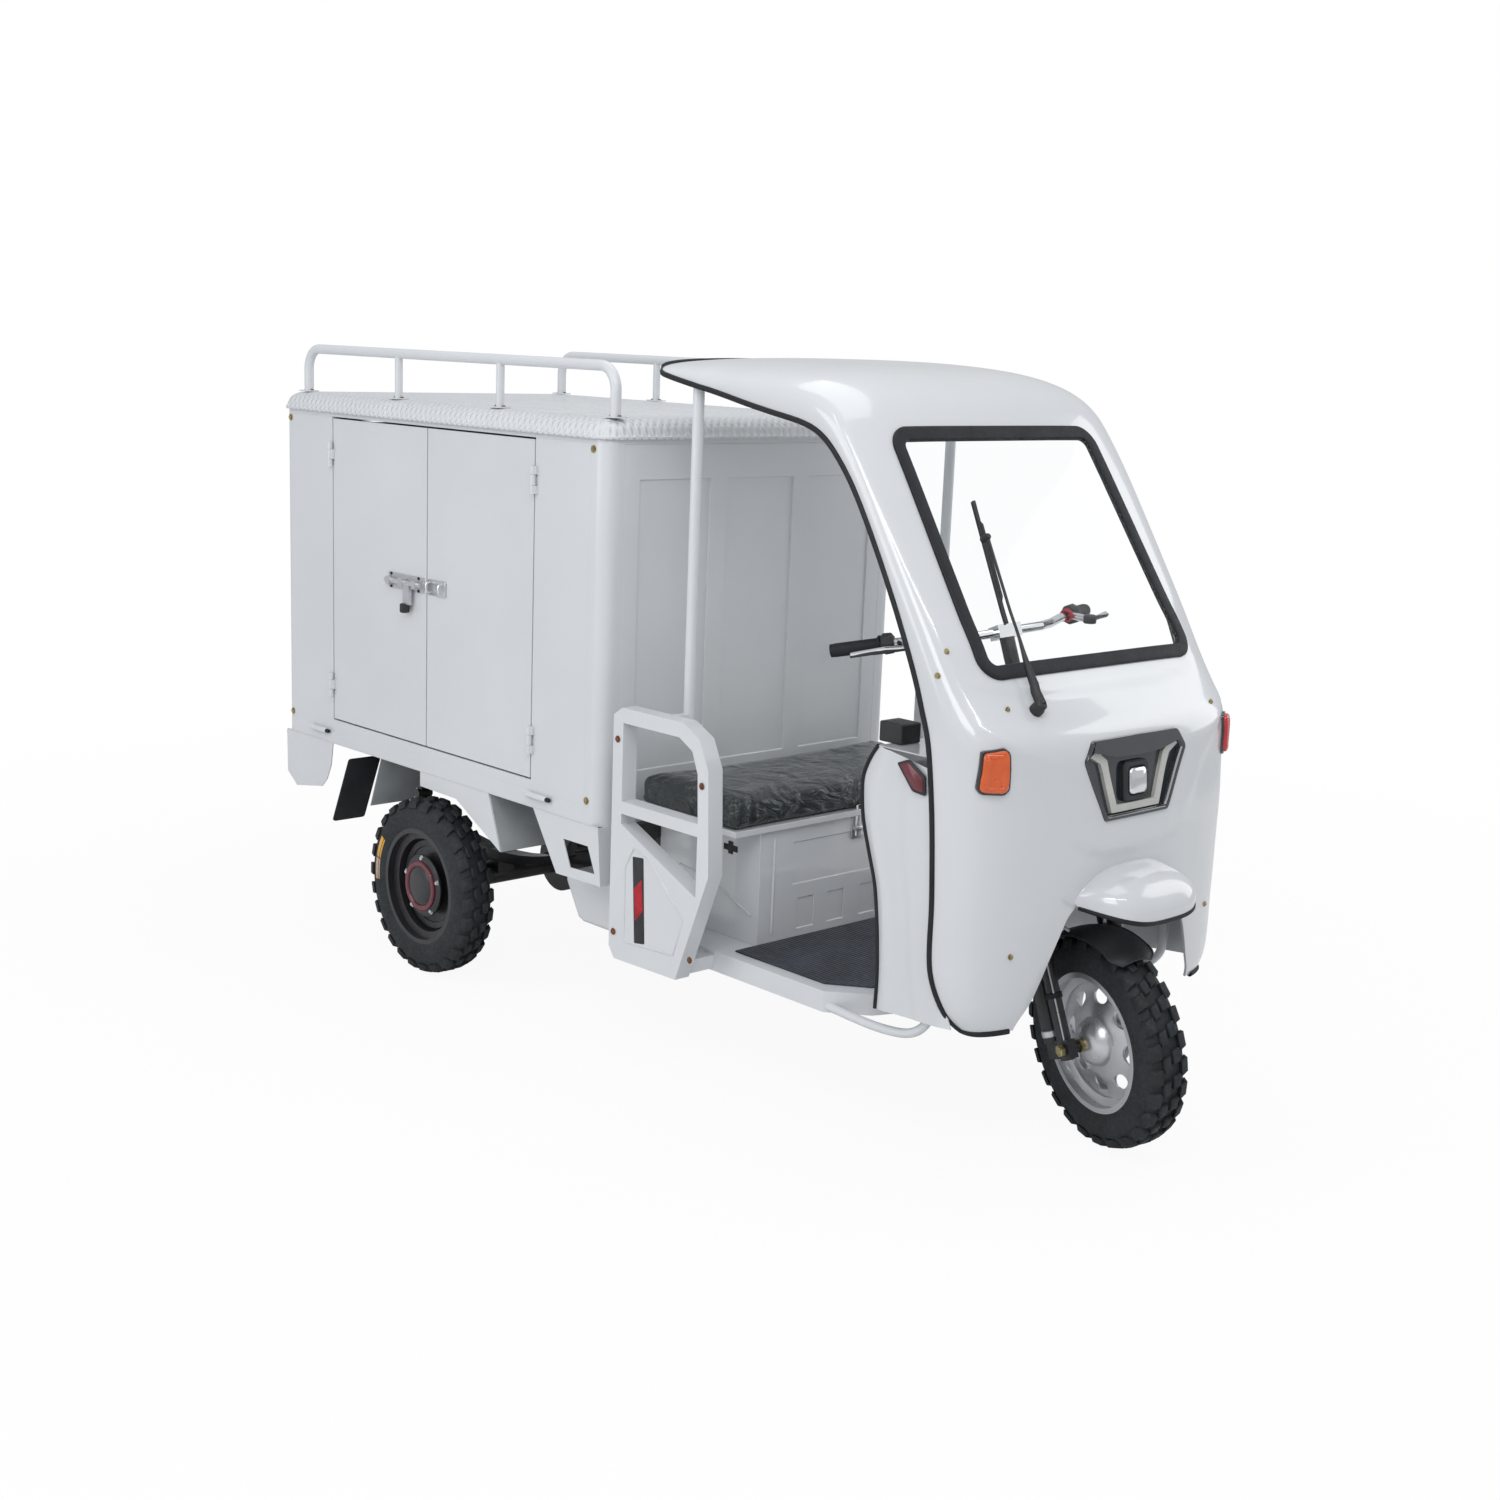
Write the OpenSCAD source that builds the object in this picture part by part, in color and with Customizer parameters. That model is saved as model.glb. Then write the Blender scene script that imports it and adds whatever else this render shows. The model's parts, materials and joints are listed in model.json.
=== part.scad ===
// Enclosed electric cargo tricycle with a moulded cowl, an open-sided cab and a load box.
// X points forward, Y to the rider's left and Z up. The modules measure from the front
// axle's place; from_axle() then puts the origin on the ground below the middle of the box.

/* [Wheels] */
// Distance from the front axle back to the rear axle
wheelbase = 2022; // [1960:1:2080]
// Radius of every tyre over its lugs
tyre_r = 255; // [248:1:262]
// Width of a tyre across its sidewalls
tyre_w = 102; // [94:1:108]
// Height of a tread lug
lug_h = 9; // [5:1:12]
// Number of lugs in each of the two rows round a tyre
lug_count = 20; // [16:1:22]
// Radius of a rim where the tyre's bead sits on it
rim_r = 160; // [152:1:166]
// Distance from the middle plane out to a rear wheel's centre
rear_wheel_y = 535; // [525:1:550]
// Number of slots through each wheel disc
slot_count = 8; // [5:1:12]
// Radius of the rear axle shaft
shaft_r = 15; // [12:1:18]

/* [Steering] */
// Angle by which the steering axis leans back
rake = 21; // [18:0.5:25]
// Distance from the steering axis forward to the front axle, level
fork_offset = 40; // [25:1:55]
// Steering angle in which the tricycle stands, to the right when negative
steer_rest = -17; // [-30:1:30]
// Distance from the wheel's middle plane out to a fork leg
fork_leg_y = 104; // [98:1:115]
// Radius of a fork leg
fork_leg_r = 17; // [13:1:20]
// Distance along the steering axis from the axle up to the fork crown
crown_h = 306; // [300:1:320]
// Radius of the steering stem
stem_r = 18; // [15:1:21]
// Height of the handlebar's middle
bar_z = 1168; // [1120:1:1200]
// Distance from the stem out to the end of a grip
bar_half_w = 366; // [330:1:390]
// Distance by which the grips sweep back
bar_sweep = 191; // [150:1:210]
// Radius of the handlebar tube
bar_r = 11; // [10:0.5:12.5]

/* [Load box] */
// Distance from the front axle back to the front wall of the box
box_back = 1263; // [1240:1:1290]
// Length of the box over its walls
box_len = 1570; // [1540:1:1600]
// Width of the box over its walls
box_w = 1064; // [1050:1:1080]
// Height of the box floor above the ground
box_floor_z = 625; // [610:1:640]
// Height of the box walls
box_wall_h = 935; // [900:1:960]
// Thickness of the box walls and doors
wall_t = 22; // [15:1:28]
// Width of a corner pillar
pillar_w = 60; // [52:1:70]
// Radius of a corner pillar's rounded edge
pillar_r = 42; // [25:1:48]
// Height of the rail round the box floor
base_h = 49; // [40:1:55]
// Distance from the box's front wall to the front edge of the side doorway
side_door_in = 292; // [270:1:320]
// Distance from the box's rear wall to the rear edge of the side doorway
side_door_out = 278; // [250:1:320]
// Height of the sill below each doorway
door_sill_h = 26; // [20:1:40]
// Gap round every door
door_gap = 5; // [5:0.5:8]
// Height of the roof panel over the box walls
roof_h = 56; // [45:1:70]
// Distance by which the roof panel stands out past the walls
roof_lip = 12; // [8:1:16]
// Height of the roof rack above the roof
rack_h = 128; // [100:1:150]
// Radius of the rack's tube
rack_r = 14; // [11:1:17]
// Radius of a hinge knuckle
knuckle_r = 8; // [6:0.5:9]
// Length of a door hinge
hinge_len = 72; // [60:1:90]

/* [Cowl] */
// Thickness of the moulded panels
panel_t = 6; // [4:0.5:7]
// Angle by which the windscreen leans back
screen_lean = 33.8; // [32:0.1:36]
// Length of the windscreen opening along its slope
screen_len = 612; // [580:1:620]
// Half width of the windscreen opening at its top
screen_top = 354; // [335:1:360]
// Half width of the windscreen opening at its foot
screen_foot = 372; // [350:1:380]
// Width of the rubber seal that shows inside the opening
seal_in = 22; // [15:1:26]
// Width of the rubber seal that laps over the cowl
seal_out = 12; // [8:1:16]
// Thickness of the windscreen glass
glass_t = 5; // [4:0.5:6]
// Radius of the rubber trim along the cowl's edge
trim_r = 7; // [6:0.5:9]

/* [Cab] */
// Height of the footwell floor above the ground
floor_z = 326; // [315:1:335]
// Half width of the footwell floor
floor_half_w = 450; // [435:1:455]
// Thickness of the floor mat
mat_t = 4; // [3:0.5:6]
// Depth of the floor pan's side walls
pan_h = 52; // [40:1:58]
// Distance from the front axle back to the seat box's front
seat_back = 855; // [840:1:880]
// Half width of the seat box
seat_box_y = 338; // [320:1:350]
// Height of the seat box's top above the ground
seat_box_z = 640; // [620:1:655]
// Thickness of the seat cushion
cushion_h = 76; // [60:1:90]
// Half width of the seat cushion
cushion_y = 448; // [430:1:460]
// Distance from the middle plane out to a side guard's outer face
guard_y = 578; // [572:1:584]
// Thickness of a side guard's frame
guard_t = 46; // [36:1:48]
// Width of the bars of a side guard's frame
guard_bar = 38; // [30:1:44]

/* [Hidden] */

// Colours
WHITE = [0.86, 0.87, 0.88];
BOX_WHITE = [0.82, 0.84, 0.85];
BLACK = [0.09, 0.1, 0.11];
RUBBER = [0.13, 0.13, 0.14];
SILVER = [0.72, 0.73, 0.74];
STEEL = [0.55, 0.56, 0.57];

// Seat gap between pieces that rest on each other, and running clearance of a shaft
seat_gap = 0.3;
run_gap = 0.05;
// A cut reaches this far past the faces it opens
cut = 1;

// Box planes, from the front axle
box_half_w = box_w / 2;
box_front_x = -box_back;
box_rear_x = -box_back - box_len;
box_top_z = box_floor_z + box_wall_h;
base_z = box_floor_z - base_h;
hinge_out = knuckle_r + 1;
// The side doorway is what its two distances leave
side_door_w = box_len - side_door_in - side_door_out;
// The tail doorway is all the room between the rear pillars
tail_door_w = box_w - 2 * pillar_w;

// Steering axis: it passes through steer_foot and leans back by the rake
steer_axis = [-sin(rake), 0, cos(rake)];
// The front wheel's axle line as it stands, and how far the leaning wheel reaches
wheel_line = [-cos(rake) * sin(steer_rest), cos(steer_rest), -sin(rake) * sin(steer_rest)];
tread_half = tyre_w / 2 - 13;
front_reach = tyre_r * sqrt(1 - pow(wheel_line[0], 2)) + tread_half * abs(wheel_line[0]);
front_axle_z = tyre_r * sqrt(1 - pow(wheel_line[2], 2)) + tread_half * abs(wheel_line[2]);
steer_foot = [-fork_offset, 0, front_axle_z];
rear_reach = box_back + box_len + hinge_out + knuckle_r;
axle_x = (rear_reach - front_reach) / 2;

// Frame rails, and the front face of the legs that drop from the box to the floor
leg_x = -box_back + 22;
rail_y = 300;
rail_w = 40;
rail_h = 50;
bed_rail_h = 60;
cross_y = box_half_w - 77;
bed_rail_z = base_z - bed_rail_h;
spring_y = rail_y;

// Places something given from the front axle's place on the ground
module from_axle() {
    translate([axle_x, 0, 0])
        children();
}

// An outline in X and Z, carried across from y0 to y1
module across(y0, y1) {
    translate([0, y1, 0])
        rotate([90, 0, 0])
            linear_extrude(y1 - y0)
                children();
}

// An outline in Y and Z, carried along from x0 to x1
module along(x0, x1) {
    translate([x0, 0, 0])
        rotate([90, 0, 90])
            linear_extrude(x1 - x0)
                children();
}

// A block between two corners
module block(low, high) {
    translate(low)
        cube(high - low);
}

module both_sides() {
    children();
    mirror([0, 1, 0])
        children();
}

// A round bar from a to b
module rod(a, b, r) {
    d = b - a;
    translate(a)
        rotate([0, acos(d[2] / norm(d)), atan2(d[1], d[0])])
            cylinder(h = norm(d), r = r, $fn = 32);
}

// Turns what is drawn straight ahead into the steering angle of rest
module steered() {
    translate(steer_foot)
        rotate(a = steer_rest, v = steer_axis)
            translate(-steer_foot)
                children();
}

// Draws along the steering axis: Z runs up the stem and X points forward
module on_stem() {
    translate(steer_foot)
        rotate([0, -rake, 0])
            children();
}

// The skin of the cowl. Each row is one section, from the back of the roof down to the foot:
// [middle x, middle z, edge x, edge half width, edge z, squareness]
COWL = [
    [-1172, 1776, -1160, 440, 1752, 2.6],
    [-1130, 1781, -1118, 478, 1741, 2.8],
    [-1000, 1789, -977, 480, 1714, 3.0],
    [-860, 1790, -820, 480, 1685, 3.2],
    [-720, 1784, -700, 480, 1664, 3.4],
    [-630, 1771, -630, 480, 1652, 3.6],
    [-560, 1744, -580, 480, 1637, 4.0],
    [-506, 1702, -538, 480, 1612, 4.4],
    [-467, 1648, -500, 480, 1576, 4.8],
    [-408, 1560, -450, 480, 1515, 5.0],
    [-328, 1440, -381, 480, 1405, 5.0],
    [-241, 1310, -312, 480, 1280, 5.0],
    [-168, 1200, -260, 480, 1175, 5.0],
    [-114, 1120, -227, 480, 1100, 4.8],
    [-55, 1055, -207, 480, 1045, 4.2],
    [2, 986, -187, 480, 985, 3.6],
    [16, 900, -172, 480, 895, 3.2],
    [25, 799, -161, 480, 798, 3.0],
    [21, 690, -153, 480, 690, 3.0],
    [18, 590, -149, 480, 590, 3.0],
    [14, 480, -144, 480, 478, 3.0],
    [8, 415, -124, 472, 414, 3.0],
    [0, 372, -104, 455, 370, 3.0],
    [-10, 338, -88, 428, 342, 3.0]];
COWL_COLS = 20;

function cowl_at(s, phi) =
    let (n = s[5])
    let (r = pow(pow(abs(cos(phi)), n) + pow(abs(sin(phi)), n), -1 / n))
    let (f = 1 - r * cos(phi))
    [s[0] + (s[2] - s[0]) * f, s[3] * r * sin(phi), s[1] + (s[4] - s[1]) * f];

cowl_grid = [for (s = COWL) [for (j = [0 : COWL_COLS]) cowl_at(s, j * 180 / COWL_COLS - 90)]];
cowl_last = len(COWL) - 1;

function unit(v) = v / norm(v);
function cowl_normal(i, j) =
    unit(cross(
        cowl_grid[min(i + 1, cowl_last)][j] - cowl_grid[max(i - 1, 0)][j],
        cowl_grid[i][min(j + 1, COWL_COLS)] - cowl_grid[i][max(j - 1, 0)]));

// The two faces of a quad patch, seen from outside with its corners a, b, c, d in turn
function quad(a, b, c, d) = [[a, b, c], [a, c, d]];
function flat_list(v) = [for (row = v) for (item = row) item];

// A shell along the cowl's skin, from high above it to low below it
module cowl_shell(high, low) {
    row = COWL_COLS + 1;
    top = [for (i = [0 : cowl_last]) for (j = [0 : COWL_COLS])
        cowl_grid[i][j] + cowl_normal(i, j) * high];
    under = [for (i = [0 : cowl_last]) for (j = [0 : COWL_COLS])
        cowl_grid[i][j] + cowl_normal(i, j) * low];
    base = len(top);
    skin = flat_list([for (i = [0 : cowl_last - 1]) for (j = [0 : COWL_COLS - 1])
        quad(i * row + j, i * row + j + 1, (i + 1) * row + j + 1, (i + 1) * row + j)]);
    lining = [for (f = skin) [f[2] + base, f[1] + base, f[0] + base]];
    ends = flat_list([for (j = [0 : COWL_COLS - 1])
        let (k = cowl_last * row)
        concat(quad(j + 1, j, base + j, base + j + 1),
            quad(k + j, k + j + 1, base + k + j + 1, base + k + j))]);
    sides = flat_list([for (i = [0 : cowl_last - 1])
        let (p = i * row, q = (i + 1) * row, m = COWL_COLS)
        concat(quad(p, q, base + q, base + p),
            quad(q + m, p + m, base + p + m, base + q + m))]);
    polyhedron(concat(top, under), concat(skin, lining, ends, sides), convexity = 10);
}

// The windscreen's own frame: X across, Y up the glass, Z out through it
screen_mid_x = (COWL[8][0] + COWL[13][0]) / 2;
screen_mid_z = (COWL[8][1] + COWL[13][1]) / 2;
module on_screen() {
    translate([screen_mid_x, 0, screen_mid_z])
        rotate([0, -screen_lean, 0])
            rotate([90, 0, 90])
                children();
}

// The windscreen opening, grown by more on every side, as a block through the skin
screen_corner = 46;
screen_reach = 60;
module screen_block(more) {
    r = screen_corner + more;
    h = screen_len / 2 + more - r;
    on_screen()
        translate([0, 0, -screen_reach])
            linear_extrude(2 * screen_reach)
                hull()
                    for (side = [-1, 1]) {
                        translate([side * (screen_top + more - r), h])
                            circle(r = r, $fn = 32);
                        translate([side * (screen_foot + more - r), -h])
                            circle(r = r, $fn = 32);
                    }
}

// Outlines on the cowl's face, in Y and Z
LAMP = [[-158, 986], [158, 986], [189, 942], [116, 799], [-116, 799], [-189, 942]];
lamp_back = 46;
lamp_proud = 3;
INDICATOR = [[404, 992], [450, 984], [456, 900], [448, 888], [404, 886], [392, 900], [392, 980]];
indicator_back = 24;
indicator_proud = 9;
ARCH = [[-333, 300], [-323, 356], [-293, 402], [-255, 490], [-205, 590], [-150, 636],
    [150, 636], [205, 590], [255, 490], [293, 402], [323, 356], [333, 300]];

module cowl() {
    color(WHITE)
        from_axle()
            difference() {
                cowl_shell(0, -panel_t);
                screen_block(0);
                along(-80, 80)
                    offset(delta = seat_gap)
                        polygon(LAMP);
                both_sides()
                    along(-200, 80)
                        offset(delta = seat_gap)
                            polygon(INDICATOR);
                along(-250, 150)
                    polygon(ARCH);
            }
}

// The rubber trim follows the cowl's edge: up the right side, round the roof's back and down
trim_path = concat(
    [for (i = [cowl_last : -1 : 1]) cowl_grid[i][0]],
    cowl_grid[0],
    [for (i = [1 : cowl_last]) cowl_grid[i][COWL_COLS]]);
trim_sides = 8;

function path_along(p, i) = unit(p[min(i + 1, len(p) - 1)] - p[max(i - 1, 0)]);
module sweep(path, r, sides) {
    rings = [for (i = [0 : len(path) - 1])
        let (t = path_along(path, i), a = unit(cross(t, [0.35, 0.9, 0.25])), b = cross(t, a))
        [for (k = [0 : sides - 1])
            path[i] + r * (a * cos(360 * k / sides) + b * sin(360 * k / sides))]];
    wall = flat_list([for (i = [0 : len(path) - 2]) for (k = [0 : sides - 1])
        let (n = (k + 1) % sides)
        quad(i * sides + n, i * sides + k, (i + 1) * sides + k, (i + 1) * sides + n)]);
    first = [[for (k = [0 : sides - 1]) k]];
    last = [[for (k = [sides - 1 : -1 : 0]) (len(path) - 1) * sides + k]];
    polyhedron(flat_list(rings), concat(wall, first, last), convexity = 10);
}

module cowl_seals() {
    color(RUBBER)
        from_axle() {
            sweep(trim_path, trim_r, trim_sides);
            difference() {
                intersection() {
                    cowl_shell(5, -panel_t - 5);
                    screen_block(seal_out);
                }
                screen_block(-seal_in);
            }
        }
}

module windscreen() {
    color([0.7, 0.8, 0.85, 0.4])
        from_axle()
            intersection() {
                cowl_shell(0, -glass_t);
                screen_block(-10);
            }
}

module headlamp() {
    color(BLACK)
        from_axle()
            intersection() {
                cowl_shell(lamp_proud, -lamp_back);
                along(-80, 80)
                    polygon(LAMP);
            }
}

module indicators() {
    color([0.85, 0.35, 0.05])
        from_axle()
            both_sides()
                intersection() {
                    cowl_shell(indicator_proud, -indicator_back);
                    along(-200, 80)
                        polygon(INDICATOR);
                }
}

// Wiper: pivot, arm and blade in the windscreen's own frame
wiper_pivot = [-278, -402];
wiper_tip = [-212, 20];
wiper_blade = [[-253, -190], [-192, 118]];
wiper_lift = 13;
module wiper() {
    color(BLACK)
        from_axle()
            difference() {
                on_screen() {
                    translate([wiper_pivot[0], wiper_pivot[1], -45])
                        cylinder(h = 70, r = 14, $fn = 32);
                    rod([wiper_pivot[0], wiper_pivot[1], 18], [wiper_tip[0], wiper_tip[1], 24], 5);
                    rod([wiper_blade[0][0], wiper_blade[0][1], wiper_lift],
                        [wiper_blade[1][0], wiper_blade[1][1], wiper_lift], 5);
                    translate([wiper_tip[0], wiper_tip[1], wiper_lift])
                        cylinder(h = 16, r = 7, $fn = 32);
                }
                cowl_shell(seat_gap, -80);
            }
}

// Nose fender: a beak over the front wheel, seated on the cowl's face
nose_front_x = 140;
nose_front_z = 577;
nose_half_w = 122;
nose_root_z = 612;
nose_root_w = 190;
nose_top_z = 684;
nose_t = 5;
module nose_form(in) {
    hull() {
        along(-10, -9)
            polygon([[-nose_root_w + in, nose_root_z - 2 * in], [-nose_root_w + in, nose_root_z + 22],
                [-nose_root_w + 46, nose_top_z - 14 - in], [-60, nose_top_z - in],
                [60, nose_top_z - in], [nose_root_w - 46, nose_top_z - 14 - in],
                [nose_root_w - in, nose_root_z + 22], [nose_root_w - in, nose_root_z - 2 * in]]);
        along(nose_front_x - 41 - in, nose_front_x - 40 - in)
            polygon([[-nose_half_w - 16 + in, nose_front_z + 5 - 2 * in],
                [-nose_half_w + 4 + in, nose_front_z + 52 - in],
                [nose_half_w - 4 - in, nose_front_z + 52 - in],
                [nose_half_w + 16 - in, nose_front_z + 5 - 2 * in]]);
        along(nose_front_x - 1 - in, nose_front_x - in)
            polygon([[-nose_half_w + 20 + in, nose_front_z - 2 * in],
                [-nose_half_w + 34 + in, nose_front_z + 20 - in],
                [nose_half_w - 34 - in, nose_front_z + 20 - in],
                [nose_half_w - 20 - in, nose_front_z - 2 * in]]);
    }
}
module nose_fender() {
    color(WHITE)
        from_axle()
            difference() {
                nose_form(0);
                nose_form(nose_t);
                cowl_shell(seat_gap, -70);
            }
}

// Leg shield: the rider's side of the cowl, with a black-trimmed back edge.
// Its back edge in X and Z
SHIELD = [[-332, 330], [-334, 446], [-354, 631], [-385, 719], [-405, 868], [-363, 944]];
shield_y = 446;
shield_front_x = -150;
shelf_front_x = -170;
module leg_shield() {
    wall_y = COWL[18][3] - trim_r - seat_gap;
    top = SHIELD[5];
    color(WHITE)
        from_axle() {
            across(-shield_y, shield_y)
                polygon(concat(SHIELD, [for (i = [5 : -1 : 0]) SHIELD[i] + [panel_t, 0]]));
            // Shelf under the windscreen, with a hole for the steering stem
            difference() {
                block([top[0], -shield_y, top[1] - panel_t], [shelf_front_x, shield_y, top[1]]);
                translate([bar_point(0, 0, bar_z)[0] + (bar_z - top[1]) * tan(rake), 0, top[1]])
                    cylinder(h = 4 * panel_t, r = stem_r + 14, center = true, $fn = 48);
            }
            both_sides()
                hull() {
                    across(-shield_y, -shield_y + panel_t)
                        polygon(concat(SHIELD,
                            [for (i = [5 : -1 : 0]) SHIELD[i] + [panel_t, 0]]));
                    across(-wall_y, -wall_y + panel_t)
                        polygon([[shield_front_x, 486], [shield_front_x - 24, 900],
                            [shield_front_x - 26, 900], [shield_front_x - 12, 486]]);
                }
        }
}

// Black box with the switches, on top of the leg shield's right-hand corner
module control_box() {
    color(BLACK)
        from_axle()
            block([-402, -410, SHIELD[5][1] + seat_gap], [-330, -345, SHIELD[5][1] + 48]);
}

// Footwell floor pan: a pressed tray turned down at its edges
pan_rear_x = leg_x + seat_gap;
PAN = [[pan_rear_x, -1], [pan_rear_x, 1], [-500, 1], [-410, 0.83], [-352, 0.5], [-352, -0.5],
    [-410, -0.83], [-500, -1]];
module pan_plan(in) {
    w = floor_half_w - in;
    polygon([for (p = PAN) [p[0] + (p[0] < -1000 ? 0 : -in), p[1] * w]]);
}
module floor_pan() {
    color(WHITE)
        from_axle()
            difference() {
                translate([0, 0, floor_z - pan_h])
                    linear_extrude(pan_h)
                        pan_plan(0);
                translate([0, 0, floor_z - pan_h - cut])
                    linear_extrude(pan_h + cut - pan_t)
                        pan_plan(pan_t);
                block([pan_rear_x - cut, -floor_half_w + pan_t, floor_z - pan_h - cut],
                    [pan_rear_x + 2 * pan_t, floor_half_w - pan_t, floor_z - pan_t]);
                // Where the down tube comes in
                block([down_low[0], -down_r - 2.5, floor_z - pan_h - cut],
                    [down_low[0] - 80, down_r + 2.5, floor_z - pan_t]);
            }
}
pan_t = 4;

module floor_mat() {
    color([0.1, 0.12, 0.16])
        from_axle()
            translate([0, 0, floor_z])
                linear_extrude(mat_t)
                    intersection() {
                        pan_plan(38);
                        translate([-seat_back + 2, -floor_half_w])
                            square([seat_back, 2 * floor_half_w]);
                    }
}

// Seat box: a moulded shell open below, with a wide lip under the cushion
seat_rear_x = leg_x + 1;
seat_lip_h = 16;
module seat_box() {
    lip_y = cushion_y - 12;
    color(WHITE)
        from_axle()
            difference() {
                union() {
                    block([seat_rear_x, -seat_box_y, floor_z], [-seat_back, seat_box_y, seat_box_z]);
                    block([seat_rear_x, -lip_y, seat_box_z - seat_lip_h],
                        [-seat_back + 14, lip_y, seat_box_z]);
                }
                block([seat_rear_x + panel_t, -seat_box_y + panel_t, floor_z - cut],
                    [-seat_back - panel_t, seat_box_y - panel_t, seat_box_z - panel_t]);
                // Wide and low recesses in the front
                block([-seat_back - 3, -220, 470], [-seat_back + cut, 220, 580]);
                for (y = [-170, -60, 60, 170])
                    block([-seat_back - 3, y - 30, 350], [-seat_back + cut, y + 30, 430]);
            }
}

module seat_cushion() {
    r = 22;
    color([0.1, 0.14, 0.15])
        from_axle()
            hull()
                for (x = [-1222 + r, -seat_back + 18 - r])
                    for (y = [-cushion_y + r, cushion_y - r])
                        translate([x, y, seat_box_z + seat_gap]) {
                            cylinder(h = cushion_h - r / 2, r = r, $fn = 24);
                            cylinder(h = cushion_h, r = r / 2, $fn = 24);
                        }
}

// Side guard: a welded frame with a seat-height bar, a brace, a filled foot and the roof pole.
// Outer outline and the two openings, in X and Z
GUARD = [[-1130, 270], [-1152, 300], [-1152, 900], [-1120, 922], [-890, 922], [-826, 890],
    [-792, 820], [-780, 560], [-890, 275]];
guard_seat_z = 668;
guard_in_rear = -1152 + guard_bar;
guard_in_front = -792 - guard_bar;
pole_x = -1005;
pole_y = 458;
pole_r = 14;
module side_guard(side) {
    mirror([0, side > 0 ? 1 : 0, 0])
        difference() {
            union() {
                difference() {
                    across(-guard_y, -guard_y + guard_t)
                        polygon(GUARD);
                    across(-guard_y - cut, -guard_y + guard_t + cut) {
                        polygon([[guard_in_rear, guard_seat_z + 16], [guard_in_rear, 884],
                            [-900, 884], [-852, 858], [guard_in_front, 806],
                            [guard_in_front + 6, guard_seat_z + 16]]);
                        polygon([[guard_in_rear, guard_seat_z - 16],
                            [guard_in_rear, 664 - guard_bar],
                            [guard_in_front + 6, 500], [guard_in_front + 6, guard_seat_z - 16]]);
                    }
                    // The foot is a thin plate between the bars
                    across(-guard_y + 4, -guard_y + guard_t + cut)
                        polygon([[guard_in_rear, 318], [guard_in_rear, 560], [-850, 430],
                            [-900, 318]]);
                }
                // Feet that reach in to the floor pan
                for (x = [-1100, -930])
                    block([x, -guard_y + guard_t - 10, 282],
                        [x + 40, -floor_half_w - seat_gap, 316]);
                // Roof pole, with a bracket at its foot out to the guard's top bar
                rod([pole_x, -pole_y, 892], [pole_x, -pole_y, 1790], pole_r);
                block([pole_x - 12, -guard_y + guard_t - 4, 896], [pole_x + 12, -pole_y, 914]);
            }
            // The pole ends against the roof's lining, which is turned back as it is here
            mirror([0, side > 0 ? 1 : 0, 0])
                cowl_shell(80, -panel_t - seat_gap);
        }
}
module side_guard_right() {
    color(WHITE)
        from_axle()
            side_guard(-1);
}
module side_guard_left() {
    color(WHITE)
        from_axle()
            side_guard(1);
}

// Battery box under the front of the load box
battery_z = 262;
module battery_box() {
    x1 = leg_x - rail_w - seat_gap;
    color(WHITE)
        from_axle()
            across(-430, 430)
                polygon([[x1, battery_z], [x1, 400], [x1 - 220, 400], [x1 - 250, 370],
                    [x1 - 190, battery_z + 8], [x1 - 170, battery_z]]);
}

// Main frame: floor rails, drop legs, bed rails, neck and head tube
down_r = 22;
down_high = [-200, 0, 650];
down_low = [-300, 0, floor_z - pan_t - 25];
head_low = crown_h + 40;
head_high = head_low + 175;
module frame() {
    color(BLACK)
        from_axle() {
            both_sides() {
                block([leg_x, -rail_y - rail_w / 2, floor_z - pan_t - rail_h],
                    [-395, -rail_y + rail_w / 2, floor_z - pan_t]);
                block([leg_x - rail_w, -rail_y - rail_w / 2, floor_z - pan_t - rail_h],
                    [leg_x, -rail_y + rail_w / 2, base_z]);
                block([box_rear_x + 40, -rail_y - rail_w / 2, bed_rail_z],
                    [leg_x - rail_w, -rail_y + rail_w / 2, base_z]);
                for (x = [-wheelbase - spring_reach, -wheelbase + spring_reach])
                    block([x - 20, -rail_y - rail_w / 2, spring_eye_z + eye_r + seat_gap],
                        [x + 20, -rail_y + rail_w / 2, bed_rail_z]);
            }
            for (x = [box_rear_x + 40, -wheelbase + 120, -wheelbase - 390, leg_x - rail_w])
                block([x, -cross_y, bed_rail_z + 14], [x + rail_w, cross_y, base_z]);
            block([-435, -rail_y - rail_w / 2, floor_z - pan_t - rail_h],
                [-395, rail_y + rail_w / 2, floor_z - pan_t]);
            difference() {
                union() {
                    on_stem()
                        translate([0, 0, head_low])
                            cylinder(h = head_high - head_low, r = stem_r + 11, $fn = 48);
                    rod(down_high, down_low, down_r);
                    translate(down_low)
                        sphere(r = down_r + 0.5, $fn = 32);
                    rod(down_low, down_low - [100, 0, 0], down_r);
                }
                on_stem()
                    translate([0, 0, head_low - 60])
                        cylinder(h = head_high - head_low + 120, r = stem_r + run_gap, $fn = 48);
            }
        }
}

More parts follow.
